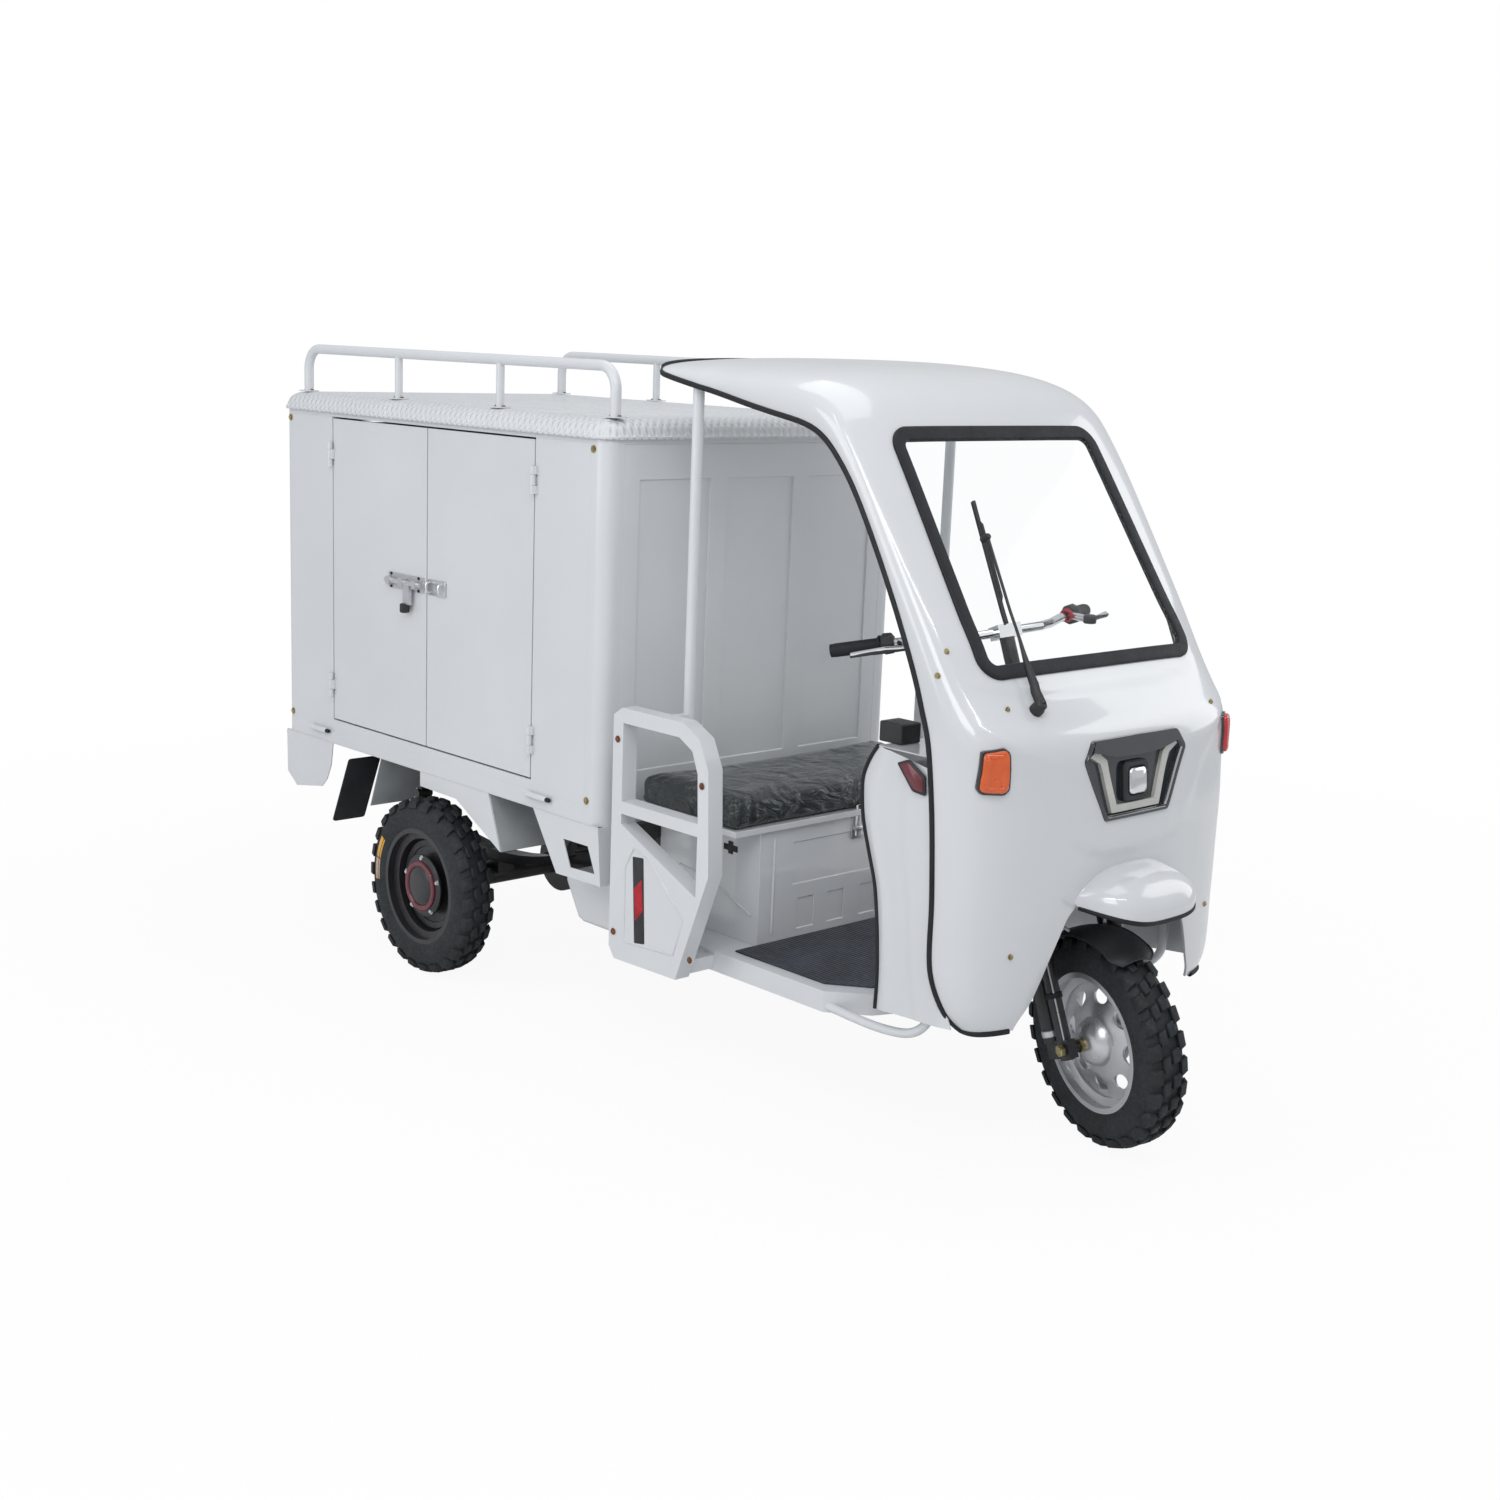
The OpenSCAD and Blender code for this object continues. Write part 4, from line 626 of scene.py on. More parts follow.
def shell(name, high, low):
    """The skin as a closed shell from high above it to low below it, in millimetres."""
    row = COLS + 1
    size = len(skin_points)
    points = [grid[i][j] + normals[i][j] * high / 1000 for i in range(ROWS + 1) for j in range(row)]
    points += [grid[i][j] + normals[i][j] * low / 1000 for i in range(ROWS + 1) for j in range(row)]
    faces = list(skin_faces) + [tuple(v + size for v in reversed(f)) for f in skin_faces]
    k = ROWS * row
    for j in range(COLS):
        faces.append((j + 1, j, size + j, size + j + 1))
        faces.append((k + j, k + j + 1, size + k + j + 1, size + k + j))
    for i in range(ROWS):
        p, q = i * row, (i + 1) * row
        faces.append((p, q, size + q, size + p))
        faces.append((q + COLS, p + COLS, size + p + COLS, size + q + COLS))
    return make(name, points, faces)


# The windscreen's frame: across, up the glass and out through it
LEAN = math.radians(33.8)
SCREEN = at((-467 - 114) / 2, 0, (1648 + 1120) / 2)
screen_up = Vector((-math.sin(LEAN), 0, math.cos(LEAN)))
screen_out = Vector((math.cos(LEAN), 0, math.sin(LEAN)))


def screen_point(u, v, out=0.0):
    return SCREEN + Vector((0, 1, 0)) * u / 1000 + screen_up * v / 1000 + screen_out * out / 1000


def screen_ring(more):
    """The opening's outline, grown by more, as (across, up) pairs."""
    r = 46 + more
    h = 612 / 2 + more - r
    top, foot = 354 + more - r, 372 + more - r
    tilt = math.atan2(foot - top, 2 * h)
    corners = [(top, h, tilt, math.pi / 2), (-top, h, math.pi / 2, math.pi - tilt),
               (-foot, -h, math.pi - tilt, 1.5 * math.pi), (foot, -h, 1.5 * math.pi, 2 * math.pi + tilt)]
    ring = []
    for k, (cx, cy, a0, a1) in enumerate(corners):
        arc = [(cx + r * math.cos(a0 + (a1 - a0) * t / 12), cy + r * math.sin(a0 + (a1 - a0) * t / 12)) for t in range(13)]
        nx = corners[(k + 1) % 4]
        start = (nx[0] + r * math.cos(nx[2]), nx[1] + r * math.sin(nx[2]))
        end = arc[-1]
        ring += arc + [(end[0] + (start[0] - end[0]) * t / 20, end[1] + (start[1] - end[1]) * t / 20) for t in range(1, 20)]
    return ring


def seat_on_skin(origin, way):
    hit, normal, _, _ = skin.ray_cast(origin, way)
    if hit is None:
        hit, normal, _, _ = skin.find_nearest(origin)
    if normal.dot(way) > 0:
        normal = -normal
    return hit, normal


def on_screen(u, v):
    return seat_on_skin(screen_point(u, v, 300), -screen_out)


def on_face(y, z):
    """The point and normal of the cowl's front at a height and width in millimetres."""
    return seat_on_skin(at(300, y, z), Vector((-1, 0, 0)))


def prism(name, outline, x0, x1):
    """An outline in y and z carried from x0 to x1."""
    n = len(outline)
    points = [at(x, y, z) for x in (x0, x1) for y, z in outline]
    faces = [tuple(range(n - 1, -1, -1)), tuple(range(n, 2 * n))]
    faces += [(k, (k + 1) % n, n + (k + 1) % n, n + k) for k in range(n)]
    return make(name, points, faces)


def grown(outline, by):
    """An outline with every edge moved outwards by so much."""
    n = len(outline)
    area = sum(outline[k][0] * outline[(k + 1) % n][1] - outline[(k + 1) % n][0] * outline[k][1] for k in range(n))
    turn = 1 if area > 0 else -1
    out = []
    for k in range(n):
        p, q, r = (Vector(outline[(k + d) % n]) for d in (-1, 0, 1))
        a, b = (q - p).normalized(), (r - q).normalized()
        na, nb = Vector((a.y, -a.x)) * turn, Vector((b.y, -b.x)) * turn
        m = (na + nb).normalized()
        out.append(tuple(q + m * by / max(0.5, m.dot(na))))
    return out


def fine(outline, step=10, corner=0):
    """The outline cut into short pieces, its corners rounded."""
    n = len(outline)
    points = []
    for k in range(n):
        p, q, r = (Vector(outline[(k + d) % n]) for d in (-1, 0, 1))
        if corner:
            c = min(corner, (p - q).length / 2.2, (r - q).length / 2.2)
            a, b = q + (p - q).normalized() * c, q + (r - q).normalized() * c
            points += [(1 - t) ** 2 * a + 2 * t * (1 - t) * q + t * t * b for t in (0, 0.25, 0.5, 0.75, 1)]
        else:
            points.append(q)
    out = []
    for k in range(len(points)):
        a, b = points[k], points[(k + 1) % len(points)]
        cuts = max(1, int((b - a).length / step))
        out += [tuple(a + (b - a) * t / cuts) for t in range(cuts)]
    return out


LAMP = [(-158, 986), (158, 986), (189, 942), (116, 799), (-116, 799), (-189, 942)]
INDICATOR = [(404, 992), (450, 984), (456, 900), (448, 888), (404, 886), (392, 900), (392, 980)]
ARCH = [(-333, 250), (-333, 300), (-323, 356), (-293, 402), (-255, 490), (-205, 590), (-150, 636),
        (150, 636), (205, 590), (255, 490), (293, 402), (323, 356), (333, 300), (333, 250)]


def flip(outline):
    return [(-y, z) for y, z in reversed(outline)]


cowl = shell("cowl_shell", 0, -6)
ring = screen_ring(0)
n = len(ring)
cutter = make("cutter_screen", [screen_point(u, v, o) for o in (-90, 90) for u, v in ring],
              [tuple(range(n - 1, -1, -1)), tuple(range(n, 2 * n))]
              + [(k, (k + 1) % n, n + (k + 1) % n, n + k) for k in range(n)])
cutters = [cutter,
           prism("cutter_lamp", fine(LAMP, 20, 10), -90, 120),
           prism("cutter_left", fine(INDICATOR, 20, 6), -230, 100),
           prism("cutter_right", flip(fine(INDICATOR, 20, 6)), -230, 100),
           prism("cutter_arch", fine(ARCH, 40, 18), -300, 200)]
for tool in cutters:
    bm = bmesh.new()
    bm.from_mesh(tool.data)
    bmesh.ops.recalc_face_normals(bm, faces=bm.faces)
    bm.to_mesh(tool.data)
    bm.free()
    modifier = cowl.modifiers.new("cut", "BOOLEAN")
    modifier.operation = "DIFFERENCE"
    modifier.solver = "EXACT"
    modifier.object = tool
applied(cowl)
for tool in cutters:
    bpy.data.objects.remove(tool)
dress(cowl, COWL_WHITE, "chassis", 40)
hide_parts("cowl")


# Rubber: the gasket round the glass, and the trim along the cowl's edge
GASKET = [(12, -1), (12, 5), (9, 6.8), (2, 7.2), (-16, 7.2), (-21, 6), (-23, 3), (-23, -7),
          (-16, -11), (4, -12), (10, -8)]


def loft_rings(name, rings):
    """Joins closed rings of points, and the last ring to the first."""
    count, n = len(rings), len(rings[0])
    faces = []
    for a in range(count):
        b = (a + 1) % count
        faces += [(a * n + k, a * n + (k + 1) % n, b * n + (k + 1) % n, b * n + k) for k in range(n)]
    obj = make(name, [p for ring in rings for p in ring], faces)
    bm = bmesh.new()
    bm.from_mesh(obj.data)
    bmesh.ops.recalc_face_normals(bm, faces=bm.faces)
    bm.to_mesh(obj.data)
    bm.free()
    return obj


rings = []
for more, height in GASKET:
    ring = []
    for u, v in screen_ring(more):
        hit, normal = on_screen(u, v)
        ring.append(hit + normal * height / 1000)
    rings.append(ring)
gasket = dress(loft_rings("windscreen_gasket", rings), RUBBER, "chassis", 50)

edge = [grid[i][0] for i in range(ROWS, -1, -1)] + grid[0][1:COLS] + [grid[i][COLS] for i in range(ROWS + 1)]
foot_right = [p for p in reversed(grid[ROWS]) if p.y < -0.33]
foot_left = [p for p in reversed(grid[ROWS]) if p.y > 0.33]
path = foot_right[:-1] + edge + foot_left[:-1]
trim = tube("cowl_trim", path, 6.8, RUBBER, "chassis", 12)
rubber = joined("cowl_rubber", [gasket, trim])
rubber.data.materials.clear()
rubber.data.materials.append(RUBBER)
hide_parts("cowl_seals")

# Windscreen: curved glass bedded in the gasket
centre = screen_ring(-12)
points, faces = [], []
n = len(centre)
LAYERS = 14
for s in range(LAYERS):
    share = 1 - s / LAYERS
    for u, v in centre:
        hit, normal = on_screen(u * share, v * share)
        points.append(hit - normal * 0.001)
hit, normal = on_screen(0, 0)
points.append(hit - normal * 0.001)
for s in range(LAYERS - 1):
    faces += [(s * n + k, s * n + (k + 1) % n, (s + 1) * n + (k + 1) % n, (s + 1) * n + k) for k in range(n)]
faces += [((LAYERS - 1) * n + k, (LAYERS - 1) * n + (k + 1) % n, LAYERS * n) for k in range(n)]
glass = make("windscreen_pane", points, faces)
modifier = glass.modifiers.new("thick", "SOLIDIFY")
modifier.thickness = 0.004
modifier.offset = 1
applied(glass)
bm = bmesh.new()
bm.from_mesh(glass.data)
bmesh.ops.recalc_face_normals(bm, faces=bm.faces)
bm.to_mesh(glass.data)
bm.free()
dress(glass, GLASS, "chassis", 40)
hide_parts("windscreen")


# Forms that follow the cowl's face: rings of (inset, height) in millimetres
def emboss(name, outline, steps, material, corner=6, filled=True, body="chassis"):
    ring = fine(outline, 9, corner)
    cy = sum(p[0] for p in ring) / len(ring)
    cz = sum(p[1] for p in ring) / len(ring)
    rings = []
    for inset, height in steps:
        cur = []
        for y, z in grown(ring, -inset):
            hit, normal = on_face(y, z)
            cur.append(hit + normal * height / 1000)
        rings.append(cur)
    last_inset, last_height = steps[-1]
    base = grown(ring, -last_inset)
    n = len(ring)
    points = [p for r in rings for p in r]
    faces = []
    for a in range(len(rings) - 1):
        faces += [(a * n + k, a * n + (k + 1) % n, (a + 1) * n + (k + 1) % n, (a + 1) * n + k) for k in range(n)]
    if filled:
        for share in (0.75, 0.5, 0.25):
            for y, z in base:
                hit, normal = on_face(cy + (y - cy) * share, cz + (z - cz) * share)
                points.append(hit + normal * last_height / 1000)
        hit, normal = on_face(cy, cz)
        points.append(hit + normal * last_height / 1000)
        for a in range(len(rings) - 1, len(rings) + 2):
            faces += [(a * n + k, a * n + (k + 1) % n, (a + 1) * n + (k + 1) % n, (a + 1) * n + k) for k in range(n)]
        a = len(rings) + 2
        faces += [(a * n + k, a * n + (k + 1) % n, (a + 1) * n) for k in range(n)]
    obj = make(name, points, faces)
    bm = bmesh.new()
    bm.from_mesh(obj.data)
    bmesh.ops.recalc_face_normals(bm, faces=bm.faces)
    probe = max(bm.faces, key=lambda f: f.calc_area())
    if filled and probe.normal.x < 0:
        bmesh.ops.reverse_faces(bm, faces=bm.faces)
    bm.to_mesh(obj.data)
    bm.free()
    return dress(obj, material, body, 40)


def band(name, left, right_side, height, material, slot):
    """A strip between two rows of (y, z) points, raised over the cowl's face."""
    points = []
    n = len(left)
    for rows, lift in ((left, 0), (left, height), (right_side, height), (right_side, 0)):
        for y, z in rows:
            hit, normal = on_face(y, z)
            points.append(hit + normal * (LAMP_FLOOR + lift) / 1000)
    faces = []
    for a in range(3):
        faces += [(a * n + k, a * n + k + 1, (a + 1) * n + k + 1, (a + 1) * n + k) for k in range(n - 1)]
    faces += [(0, n, 2 * n, 3 * n), (n - 1, 4 * n - 1, 3 * n - 1, 2 * n - 1)]
    obj = make(name, points, faces)
    bm = bmesh.new()
    bm.from_mesh(obj.data)
    bmesh.ops.recalc_face_normals(bm, faces=bm.faces)
    bm.to_mesh(obj.data)
    bm.free()
    return dress(obj, material, "chassis", 30)


LAMP_FLOOR = -12
lamp_body = emboss("headlamp_bowl", LAMP, [(0.5, -34), (0.5, 1), (3, 5), (9, 5), (13, 1), (15, LAMP_FLOOR)],
                   LAMP_DARK, 10)
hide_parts("headlamp")


def densely(points, step=8):
    out = []
    for a, b in zip(points, points[1:]):
        cuts = max(1, int(math.hypot(b[0] - a[0], b[1] - a[1]) / step))
        out += [(a[0] + (b[0] - a[0]) * t / cuts, a[1] + (b[1] - a[1]) * t / cuts) for t in range(cuts)]
    return out + [points[-1]]


def pair_dense(a, b):
    """Cuts two rows of the same length into the same number of pieces."""
    left, rt = [], []
    for (p, q), (r, s) in zip(zip(a, a[1:]), zip(b, b[1:])):
        cuts = max(1, int(max(math.dist(p, q), math.dist(r, s)) / 8))
        left += [(p[0] + (q[0] - p[0]) * t / cuts, p[1] + (q[1] - p[1]) * t / cuts) for t in range(cuts)]
        rt += [(r[0] + (s[0] - r[0]) * t / cuts, r[1] + (s[1] - r[1]) * t / cuts) for t in range(cuts)]
    return left + [a[-1]], rt + [b[-1]]


outer_u = [(-162, 950), (-128, 932), (-118, 908), (-88, 816), (88, 816), (118, 908), (128, 932), (162, 950)]
inner_u = [(-140, 962), (-104, 938), (-97, 912), (-70, 833), (70, 833), (97, 912), (104, 938), (140, 962)]
band("headlamp_light_bar", *pair_dense(outer_u, inner_u), 9, LAMP_GREY, "lamp")
visor_top = [(-150, 980), (-75, 983), (0, 984), (75, 983), (150, 980)]
visor_low = [(-162, 960), (-80, 944), (0, 941), (80, 944), (162, 960)]
band("headlamp_visor", *pair_dense(visor_low, visor_top), 20, LAMP_DARK, "lamp")

lens_at, lens_way = on_face(0, 882)
lens_frame = axes(lens_at, (1, 0, 0.1), (0, 0, 1))


def rounded_square(half, corner, count=8):
    out = []
    for k, (sx, sy) in enumerate(((1, 1), (-1, 1), (-1, -1), (1, -1))):
        for t in range(count + 1):
            a = math.pi / 2 * (k + t / count)
            out.append((sx * (half - corner) + corner * math.cos(a), sy * (half - corner) + corner * math.sin(a)))
    return out


def pad_rings(name, rings, matrix, material, body, angle=35):
    """Closed rings of (x, y, z) millimetres in a matrix's frame, the first and last filled."""
    n = len(rings[0])
    points = [matrix @ (Vector(p) / 1000) for r in rings for p in r]
    faces = [tuple(range(n - 1, -1, -1)), tuple(range((len(rings) - 1) * n, len(rings) * n))]
    for a in range(len(rings) - 1):
        faces += [(a * n + k, a * n + (k + 1) % n, (a + 1) * n + (k + 1) % n, (a + 1) * n + k) for k in range(n)]
    obj = make(name, points, faces)
    bm = bmesh.new()
    bm.from_mesh(obj.data)
    bmesh.ops.recalc_face_normals(bm, faces=bm.faces)
    bm.to_mesh(obj.data)
    bm.free()
    return dress(obj, material, body, angle)


def square_rings(steps, corner):
    return [[(x, y, h) for x, y in rounded_square(half, min(corner, half * 0.8))] for half, h in steps]


pad_rings("headlamp_projector_frame", square_rings([(46, -13), (46, -2), (42, 2), (34, 2), (32, -4)], 14),
          lens_frame, PLASTIC, "chassis")
pad_rings("headlamp_projector", square_rings([(31, -8), (31, 3), (29, 8), (22, 12), (12, 14), (4, 14.5)], 12),
          lens_frame, CHROME, "chassis", 50)

for side, name, finish, slot in ((1, "left", RED_LENS, "red_lens"), (-1, "right", AMBER, "amber")):
    outline = INDICATOR if side > 0 else flip(INDICATOR)
    base = emboss("indicator_base_" + name, outline, [(0.5, -20), (0.5, 3), (2, 6), (5, 6), (6, 3)],
                  LAMP_DARK, 6)
    lens = emboss("indicator_lens_" + name, grown(outline, -6),
                  [(0, 2), (0, 9), (2, 13), (7, 15), (12, 15.5), (14, 13.5), (17, 13.5)], finish, 8)
    if side > 0:
        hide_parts("indicators")

# Nose fender over the front wheel, with its rubber lip
US, VS = 48, 16
points = []
for j in range(VS + 1):
    v = j / VS
    for i in range(US + 1):
        u = 2 * i / US - 1
        m = abs(u)
        root = Vector((10, 186 * u, 688 - 66 * m ** 3))
        lip = Vector((138 - 118 * m ** 4.6, 186 * u * (1 - 0.05 * m), 582 + 30 * m ** 2.6))
        p = root.lerp(lip, v)
        swell = math.sin(math.pi * v) ** 0.75 * (1 - m ** 6)
        p += Vector((24 * swell * (0.5 + v), 0, 24 * swell * (0.6 + 0.6 * v)))
        points.append(at(*p))
faces = [(j * (US + 1) + i, j * (US + 1) + i + 1, (j + 1) * (US + 1) + i + 1, (j + 1) * (US + 1) + i)
         for j in range(VS) for i in range(US)]
nose = make("nose_fender_skin", points, faces)
modifier = nose.modifiers.new("thick", "SOLIDIFY")
modifier.thickness = 0.004
modifier.offset = -1
applied(nose)
bm = bmesh.new()
bm.from_mesh(nose.data)
bmesh.ops.recalc_face_normals(bm, faces=bm.faces)
bm.to_mesh(nose.data)
bm.free()
dress(nose, COWL_WHITE, "chassis", 50)
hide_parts("nose_fender")
lip_path = points[VS * (US + 1):(VS + 1) * (US + 1)]
tube("nose_fender_lip", [p + Vector((0.001, 0, -0.003)) for p in lip_path], 6.5, RUBBER, "chassis", 10)


# Tyres with blocks in staggered rows on a round carcass
def tyre_mesh():
    bm = bmesh.new()
    half = [(40, 158), (46, 168), (50, 184), (51, 200), (49.5, 217), (45, 231), (36, 240), (20, 244), (0, 245)]
    profile = half + [(-y, r) for y, r in reversed(half[:-1])]
    profile += [(-36, 156), (36, 156)]
    n, sides = len(profile), 96
    rows = []
    for k in range(sides):
        a = 2 * math.pi * k / sides
        rows.append([bm.verts.new((r * math.cos(a), y, r * math.sin(a))) for y, r in profile])
    for k in range(sides):
        a, b = rows[k], rows[(k + 1) % sides]
        for j in range(n):
            m = (j + 1) % n
            bm.faces.new((a[j], a[m], b[m], b[j]))
    # Tread blocks in staggered rows, two kinds on each half
    count = 26
    blocks = bmesh.new()
    kinds = [
        # (offset of the pitch, length share, y at the foot, y at the top, outer foot radius, top radii)
        (0.0, 0.66, (25, 50.5), (26, 46), (228, 243), (248, 254)),
        (0.5, 0.58, (2, 24), (4, 22), (240, 241), (255, 254.5)),
    ]
    for side in (-1, 1):
        for shift, share, foot_y, top_y, foot_r, top_r in kinds:
            shift = shift + (0.25 if side > 0 else 0)
            for k in range(count):
                mid = 2 * math.pi * (k + shift) / count
                span = math.pi * share / count
                corners = []
                for level_, (ys, rs) in enumerate(((foot_y, foot_r), (top_y, top_r))):
                    squeeze = 1.0 if level_ == 0 else 0.86
                    for s, t in ((-1, 0), (1, 0), (1, 1), (-1, 1)):
                        angle = mid + s * span * squeeze + (0.012 if t else -0.012) * side
                        y = ys[t] * side
                        r = rs[1 - t] if t else rs[1]
                        if t:
                            r = rs[0]
                        corners.append(blocks.verts.new((r * math.cos(angle), y, r * math.sin(angle))))
                f = corners
                for quad in ((3, 2, 1, 0), (4, 5, 6, 7), (0, 1, 5, 4), (1, 2, 6, 5), (2, 3, 7, 6), (3, 0, 4, 7)):
                    blocks.faces.new([f[q] for q in quad])
    bmesh.ops.recalc_face_normals(blocks, faces=blocks.faces)
    bmesh.ops.bevel(blocks, geom=blocks.edges[:], offset=1.6, segments=1, profile=0.5, affect="EDGES")
    mesh = bpy.data.meshes.new("blocks")
    blocks.to_mesh(mesh)
    blocks.free()
    bmesh.ops.recalc_face_normals(bm, faces=bm.faces)
    bm.from_mesh(mesh)
    bpy.data.meshes.remove(mesh)
    bm.transform(Matrix.Scale(0.001, 4))
    out = bpy.data.meshes.new("tyre")
    bm.to_mesh(out)
    bm.free()
    return out


steer_foot = joint_at["steer"]
STEERED = (Matrix.Translation(steer_foot)
           @ Matrix.Rotation(math.radians(STEER_REST), 4,
                             Vector((-math.sin(math.radians(RAKE)), 0, math.cos(math.radians(RAKE)))))
           @ Matrix.Translation(-steer_foot))
FRONT_WHEEL = STEERED @ Matrix.Translation((AXLE_X, 0, steer_foot.z))
REAR_WHEEL = {side: Matrix.Translation(at(-WHEELBASE, side * REAR_WHEEL_Y, TYRE_R)) for side in (-1, 1)}
STEM = STEERED @ Matrix.Translation(steer_foot) @ Matrix.Rotation(math.radians(-RAKE), 4, "Y")

tyre_source = tyre_mesh()
for name, node, matrix, body in (
        ("front_tyre_treaded", "front_tyre", FRONT_WHEEL, "front_wheel"),
        ("rear_tyre_right_treaded", "rear_tyre_right", REAR_WHEEL[-1], "rear_wheel_right"),
        ("rear_tyre_left_treaded", "rear_tyre_left", REAR_WHEEL[1], "rear_wheel_left")):
    mesh = tyre_source.copy()
    mesh.transform(matrix)
    obj = bpy.data.objects.new(name, mesh)
    scene.collection.objects.link(obj)
    dress(obj, TYRE, body, 40)
    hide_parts(node)

# Painted sheet and tube, with the soft edges that they have
for node, width in (("box_base", 3), ("box_frame", 2), ("box_front_wall", 1.5), ("box_left_wall", 1.5),
                    ("box_right_wall", 1.5), ("side_door_front", 2), ("side_door_rear", 2),
                    ("tail_door_right", 2), ("tail_door_left", 2), ("side_guard_right", 5),
                    ("side_guard_left", 5), ("seat_box", 5), ("floor_pan", 1.2), ("battery_box", 12),
                    ("control_box", 5), ("side_skirts", 0.8)):
    rounded(node, width / 1000, 3 if width > 3 else 2)


# Load box roof: tread plate with its edge rolled down over the walls to a small lip
ROOF_EDGE = [(7, 1572), (1.5, 1572), (0, 1574), (0, 1579), (3, 1582), (6, 1590), (12, 1603), (24, 1614), (42, 1621),
             (64, 1623.8)]
roof_low, roof_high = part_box("box_roof")
ROOF_CORNER = 60


def roof_ring(inset, z):
    half_x = (roof_high[0] - roof_low[0]) / 2 * 1000 - inset
    half_y = (roof_high[1] - roof_low[1]) / 2 * 1000 - inset
    mid = (roof_high[0] + roof_low[0]) / 2
    r = max(8, ROOF_CORNER - inset)
    ring = []
    corners = ((1, 1), (-1, 1), (-1, -1), (1, -1))
    for k, (sx, sy) in enumerate(corners):
        for t in range(9):
            a = math.pi / 2 * (k + t / 8)
            ring.append((sx * (half_x - r) + r * math.cos(a), sy * (half_y - r) + r * math.sin(a)))
    return [Vector((mid + x / 1000, y / 1000, z / 1000)) for x, y in ring]


edge_rings = [roof_ring(inset, z) for inset, z in ROOF_EDGE]
n = len(edge_rings[0])
points = [p for r in edge_rings for p in r]
faces = [(a * n + k, a * n + (k + 1) % n, (a + 1) * n + (k + 1) % n, (a + 1) * n + k)
         for a in range(len(edge_rings) - 1) for k in range(n)]
faces += [tuple(range(n - 1, -1, -1)), tuple(range((len(edge_rings) - 1) * n, len(edge_rings) * n))]
roof_skin = tidy_normals(make("box_roof_tread", points, faces))
dress(roof_skin, TREAD_PLATE, "chassis", 40)
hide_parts("box_roof")


# Seat cushion: a padded slab swollen under pressure, flat where it rests
def cushion():
    low, high = (-1220, -444, 641), (-840, 444, 712)
    bm = bmesh.new()
    bmesh.ops.create_cube(bm, size=1)
    for v in bm.verts:
        v.co = at(*[low[i] + (high[i] - low[i]) * (v.co[i] + 0.5) for i in range(3)])
    bmesh.ops.bevel(bm, geom=bm.edges[:], offset=0.016, segments=4, profile=0.5, affect="EDGES")
    obj = from_bmesh("seat_cushion_padded", bm)
    modifier = obj.modifiers.new("remesh", "REMESH")
    modifier.mode = "VOXEL"
    modifier.voxel_size = 0.010
    applied(obj)
    rest = [v.co.copy() for v in obj.data.vertices]
    cloth = obj.modifiers.new("cloth", "CLOTH")
    cloth.settings.quality = 4
    cloth.settings.use_pressure = True
    cloth.settings.uniform_pressure_force = 4
    cloth.settings.effector_weights.gravity = 0
    cloth.settings.tension_stiffness = 12
    cloth.settings.compression_stiffness = 12
    cloth.settings.bending_stiffness = 0.4
    cloth.point_cache.frame_start = 1
    cloth.point_cache.frame_end = 20
    for f in range(1, 21):
        scene.frame_set(f)
    applied(obj)
    scene.frame_set(1)
    floor_z = low[2] / 1000
    for v, r in zip(obj.data.vertices, rest):
        move = v.co - r
        if move.length > 0.012:
            move *= 0.012 / move.length
        v.co = r + move
        v.co.z = max(floor_z, v.co.z)
    modifier = obj.modifiers.new("finer", "SUBSURF")
    modifier.levels = 1
    applied(obj)
    # Film folds that run in from the corners and along the front edge
    for v in obj.data.vertices:
        x, y = v.co.x - at(-1030, 0, 0).x, v.co.y
        corner = soft((abs(y) - 0.3) / 0.14) * soft((abs(x) - 0.05) / 0.13)
        a = math.atan2(abs(y) - 0.30, abs(x) - 0.02)
        fold = math.sin(a * 34 + 3 * noise.noise(v.co * 9)) * 0.0016 * corner
        wave = noise.noise(Vector((v.co.x * 14, v.co.y * 7, v.co.z * 20))) * 0.0022
        if v.co.z > 0.66:
            v.co += v.normal * (fold + wave)
    return obj


seat = dress(cushion(), VINYL, "chassis", 60)
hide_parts("seat_cushion")

def plate(name, outline, plane, low, high, material, body="chassis", corner=0, bevel=0.8):
    """A flat plate: its outline in two axes, and its two levels in the third, in millimetres."""
    ring = fine(outline, 1e6, corner) if corner else outline
    n = len(ring)
    order = {"xz": (0, 2, 1), "yz": (1, 2, 0), "xy": (0, 1, 2)}[plane]
    points = []
    for level in (low, high):
        for a, b in ring:
            place = [0, 0, 0]
            place[order[0]], place[order[1]], place[order[2]] = a, b, level
            points.append(at(*place))
    faces = [tuple(range(n - 1, -1, -1)), tuple(range(n, 2 * n))]
    faces += [(k, (k + 1) % n, n + (k + 1) % n, n + k) for k in range(n)]
    obj = tidy_normals(make(name, points, faces))
    bm = bmesh.new()
    bm.from_mesh(obj.data)
    bevel_sharp(bm, bevel / 1000, 1, 50)
    bm.to_mesh(obj.data)
    bm.free()
    return dress(obj, material, body, 50)


def bolts(name, places, way, material, body="chassis", r=6.5, h=5.0):
    """Hexagon heads on washers, all facing one way; each place is a point in metres."""
    out = []
    for k, place in enumerate(places):
        frame_of = axes(Vector(place), way)
        washer = [(0, 0), (r * 1.45, 0), (r * 1.45, 1.2), (0, 1.2)]
        head = [(0, 1), (r, 1), (r, h - 0.8), (r * 0.86, h), (0, h)]
        out.append(lathe(name + "_washer_" + str(k), washer, material, body, frame_of, 20))
        out.append(lathe(name + "_head_" + str(k), head, material, body, frame_of, 6, 20))
    obj = joined(name, out)
    return dress(obj, material, body, 30)


